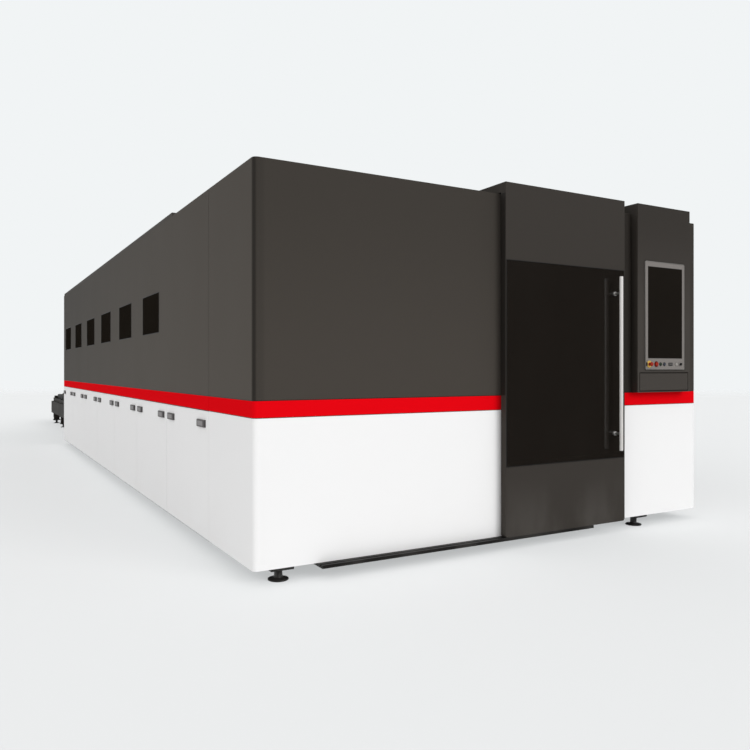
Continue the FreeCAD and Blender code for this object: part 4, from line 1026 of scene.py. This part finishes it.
# Folded strip seen along it: how far in from the beam's outside, and how high above its top.
GUARD_SECTION = (
    (0.018, 0), (0.0425, 0), (0.0425, 0.074), (0.032, 0.074),
    (0.032, 0.0715), (0.040, 0.0715), (0.040, 0.0025), (0.018, 0.0025),
)
HEAD_BARREL = (
    (0, 0), (0.0165, 0), (0.0172, 0.001), (0.0172, 0.009), (0.0215, 0.022), (0.0268, 0.029),
    (0.0268, 0.054), (0.031, 0.056), (0.0335, 0.060), (0.0335, 0.074), (0.0358, 0.077),
    (0.0358, 0.104), (0.0345, 0.1055), (0.0345, 0.1085), (0.0358, 0.110), (0.0358, 0.140),
    (0.0335, 0.142), (0.0335, 0.150), (0.0358, 0.152), (0.0358, 0.195), (0, 0.195),
)
FIBRE_PLUG = (
    (0, 0), (0.0170, 0), (0.0170, 0.012), (0.0150, 0.014), (0.0150, 0.030), (0.0165, 0.032),
    (0.0165, 0.046), (0.0120, 0.055), (0, 0.055),
)


def toothed_racks():
    """Gear racks of module 5: the upper edge goes from root to tip at shares of a pitch."""
    low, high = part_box("y_racks")
    pitch, tooth_tall, thickness, inset = 0.0157, 0.011, 0.0295, 0.015
    share_of_pitch = np.array([0.0, 0.18, 0.40, 0.60, 0.82])
    at_tip = np.array([False, False, True, True, False])
    count = int((high.y - low.y) / pitch)
    start = low.y + (high.y - low.y - count * pitch) / 2
    tall = high.z - low.z
    y = start + (np.arange(count)[:, None] + share_of_pitch[None]).ravel() * pitch
    z = np.tile(np.where(at_tip, tall, tall - tooth_tall), count)
    y = np.concatenate([[low.y], y, [high.y]])
    z = np.concatenate([[tall], z, [tall]])
    along_x = blade(y, z, thickness)
    rack = Form(along_x.points[:, [1, 0, 2]], along_x.faces)
    form = rack.at(*[(side, 0, low.z) for side in (low.x + inset, high.x - inset)])
    piece("toothed_racks", form, "ground_steel", "cabin", ["y_racks"])


def rail_bolts():
    """Plastic plugs over the sunk screws, down the middle of both guide rails."""
    low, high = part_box("y_rails")
    half_rail, from_end = 0.017, 0.06
    rows = np.linspace(low.y + from_end, high.y - from_end, 61)
    places = [(x, y, high.z) for x in (low.x + half_rail, high.x - half_rail) for y in rows]
    piece("rail_plugs", lathe(RAIL_PLUG, sides=12).at(*places), "motor_black", "cabin")


def serrated_slats():
    """Slats in a finer row than the solids': the upper edge rises to a flat tip and falls again."""
    teeth, slats = 30, 48
    tooth_tall, thickness, inset = 0.032, 0.005, 0.003
    share_of_pitch = np.array([0.0, 0.42, 0.58])
    for name in ("upper", "lower"):
        low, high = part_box(f"{name}_slats")
        pitch = (high.x - low.x) / teeth
        tall = high.z - low.z
        x = low.x + (np.arange(teeth)[:, None] + share_of_pitch[None]).ravel() * pitch
        z = np.tile([tall - tooth_tall, tall, tall], teeth)
        slat = blade(np.append(x, high.x), np.append(z, tall - tooth_tall), thickness)
        rows = np.linspace(low.y + inset, high.y - inset, slats)
        form = slat.at(*[(0, y, low.z) for y in rows])
        piece(f"{name}_cutting_slats", form, "slat_steel", f"{name}_shuttle", [f"{name}_slats"])


def pallet_fittings():
    """Hubs with their circlips on the pallet wheels, and bolts along the side tubes."""
    wheels, bolts, axle_height = 4, 24, 0.0377
    side_tube, from_tube, from_end = 0.048, 0.030, 0.12
    hub = lathe(WHEEL_HUB, sides=24)
    head = bolt(0.009)
    for name in ("upper", "lower"):
        low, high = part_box(f"{name}_pallet")
        rows = low.y + (high.y - low.y) * (np.arange(wheels) + 0.5) / wheels
        axle = low.z + axle_height
        left = hub.facing("left").at(*[(low.x, y, axle) for y in rows])
        right = hub.facing("right").at(*[(high.x, y, axle) for y in rows])
        piece(f"{name}_wheel_hubs", left + right, "ground_steel", f"{name}_shuttle")
        rows = np.linspace(low.y + from_end, high.y - from_end, bolts)
        sides = (low.x + side_tube + from_tube, high.x - side_tube - from_tube)
        form = head.at(*[(x, y, high.z) for x in sides for y in rows])
        piece(f"{name}_pallet_bolts", form, "foot_steel", f"{name}_shuttle")


def table_guards():
    """Guard strips: a folded section carried along both side beams of the table, with bolts."""
    low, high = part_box("exchange_frame")
    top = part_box("upper_pallet")[0].z
    bolts, from_end, bolt_inset, sheet = 12, 0.1, 0.029, 0.0025
    section = np.array(GUARD_SECTION)
    flat = (len(section), 2)
    y = np.array([low.y + 0.02, high.y - 0.03])
    z = np.broadcast_to(top + section[:, 1:], flat)
    caps = np.array([[0, 1, 6, 7], [1, 2, 5, 6], [2, 3, 4, 5]]) * 2
    rows = np.linspace(y[0] + from_end, y[1] - from_end, bolts)
    forms = []
    for edge, inward in ((low.x, 1), (high.x, -1)):
        x = np.broadcast_to(edge + inward * section[:, :1], flat)
        points = np.stack([x, np.broadcast_to(y, flat), z], -1)
        forms.append(Form.grid(points, closed_rows=True).with_faces(caps, caps + 1))
        places = [(edge + inward * bolt_inset, place, top + sheet) for place in rows]
        forms.append(bolt(0.0055).at(*places))
    piece("table_guards", joined(forms), "table_paint", "cabin")


def cutting_unit():
    """Cutting head with an eased housing, a turned barrel, its fibre plug and its nozzle."""
    low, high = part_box("cutting_head")
    tip_low, tip_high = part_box("nozzle")
    x, y = (tip_low.x + tip_high.x) / 2, (tip_low.y + tip_high.y) / 2
    tip, depth = low.z, 0.084
    housing_low, housing_high = tip + HEAD_BARREL[-1][1], high.z - FIBRE_PLUG[-1][1]
    housing = eased(high.x - low.x, depth, housing_high - housing_low, 0.003, 0.008)
    housing = housing.at(((low.x + high.x) / 2, high.y - depth / 2, housing_low))
    barrel = lathe(HEAD_BARREL, sides=56).at((x, y, tip))
    plug = lathe(FIBRE_PLUG, sides=40).at((x, y, housing_high))
    form = housing + barrel + plug
    piece("cutting_head_body", form, "head_alloy", "head", ["cutting_head"])
    tall = tip_high.z - tip_low.z
    bore, collar = 0.0015, 0.0140
    nozzle = lathe((
        (bore, 0), (0.0040, 0), (0.0055, 0.0012), (0.0098, tall * 0.5), (0.0132, tall * 0.56),
        (collar, tall * 0.62), (collar, tall), (bore, tall), (bore, 0),
    ), sides=48)
    piece("cutting_nozzle", nozzle.at((x, y, tip_low.z)), "nozzle_copper", "head", ["nozzle"])


def roof_screws():
    """Screws that hold the raised roof cover down along its two long edges."""
    low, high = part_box("roof_cover")
    flange, inset, from_end = 0.032, 0.03, 0.06
    rows = np.linspace(low.y + from_end, high.y - from_end, 26)
    places = [(x, y, low.z + flange) for x in (low.x + inset, high.x - inset) for y in rows]
    piece("roof_screws", screw(0.008).at(*places), "foot_steel", "cabin")


# ---------------------------------------------------------------- assembly

bpy.context.scene.view_settings.view_transform = "Standard"
dress_nodes()
camera()
studio_light()
studio_floor()
handle_bar()
edge_seals_painted_shade()
seam_fillers()
pane_seals()
push_buttons()
emergency_stop()
key_and_sockets()
screen_trim()
drawer_keys()
panel_grips()
machine_feet()
toothed_racks()
rail_bolts()
serrated_slats()
pallet_fittings()
table_guards()
cutting_unit()
roof_screws()
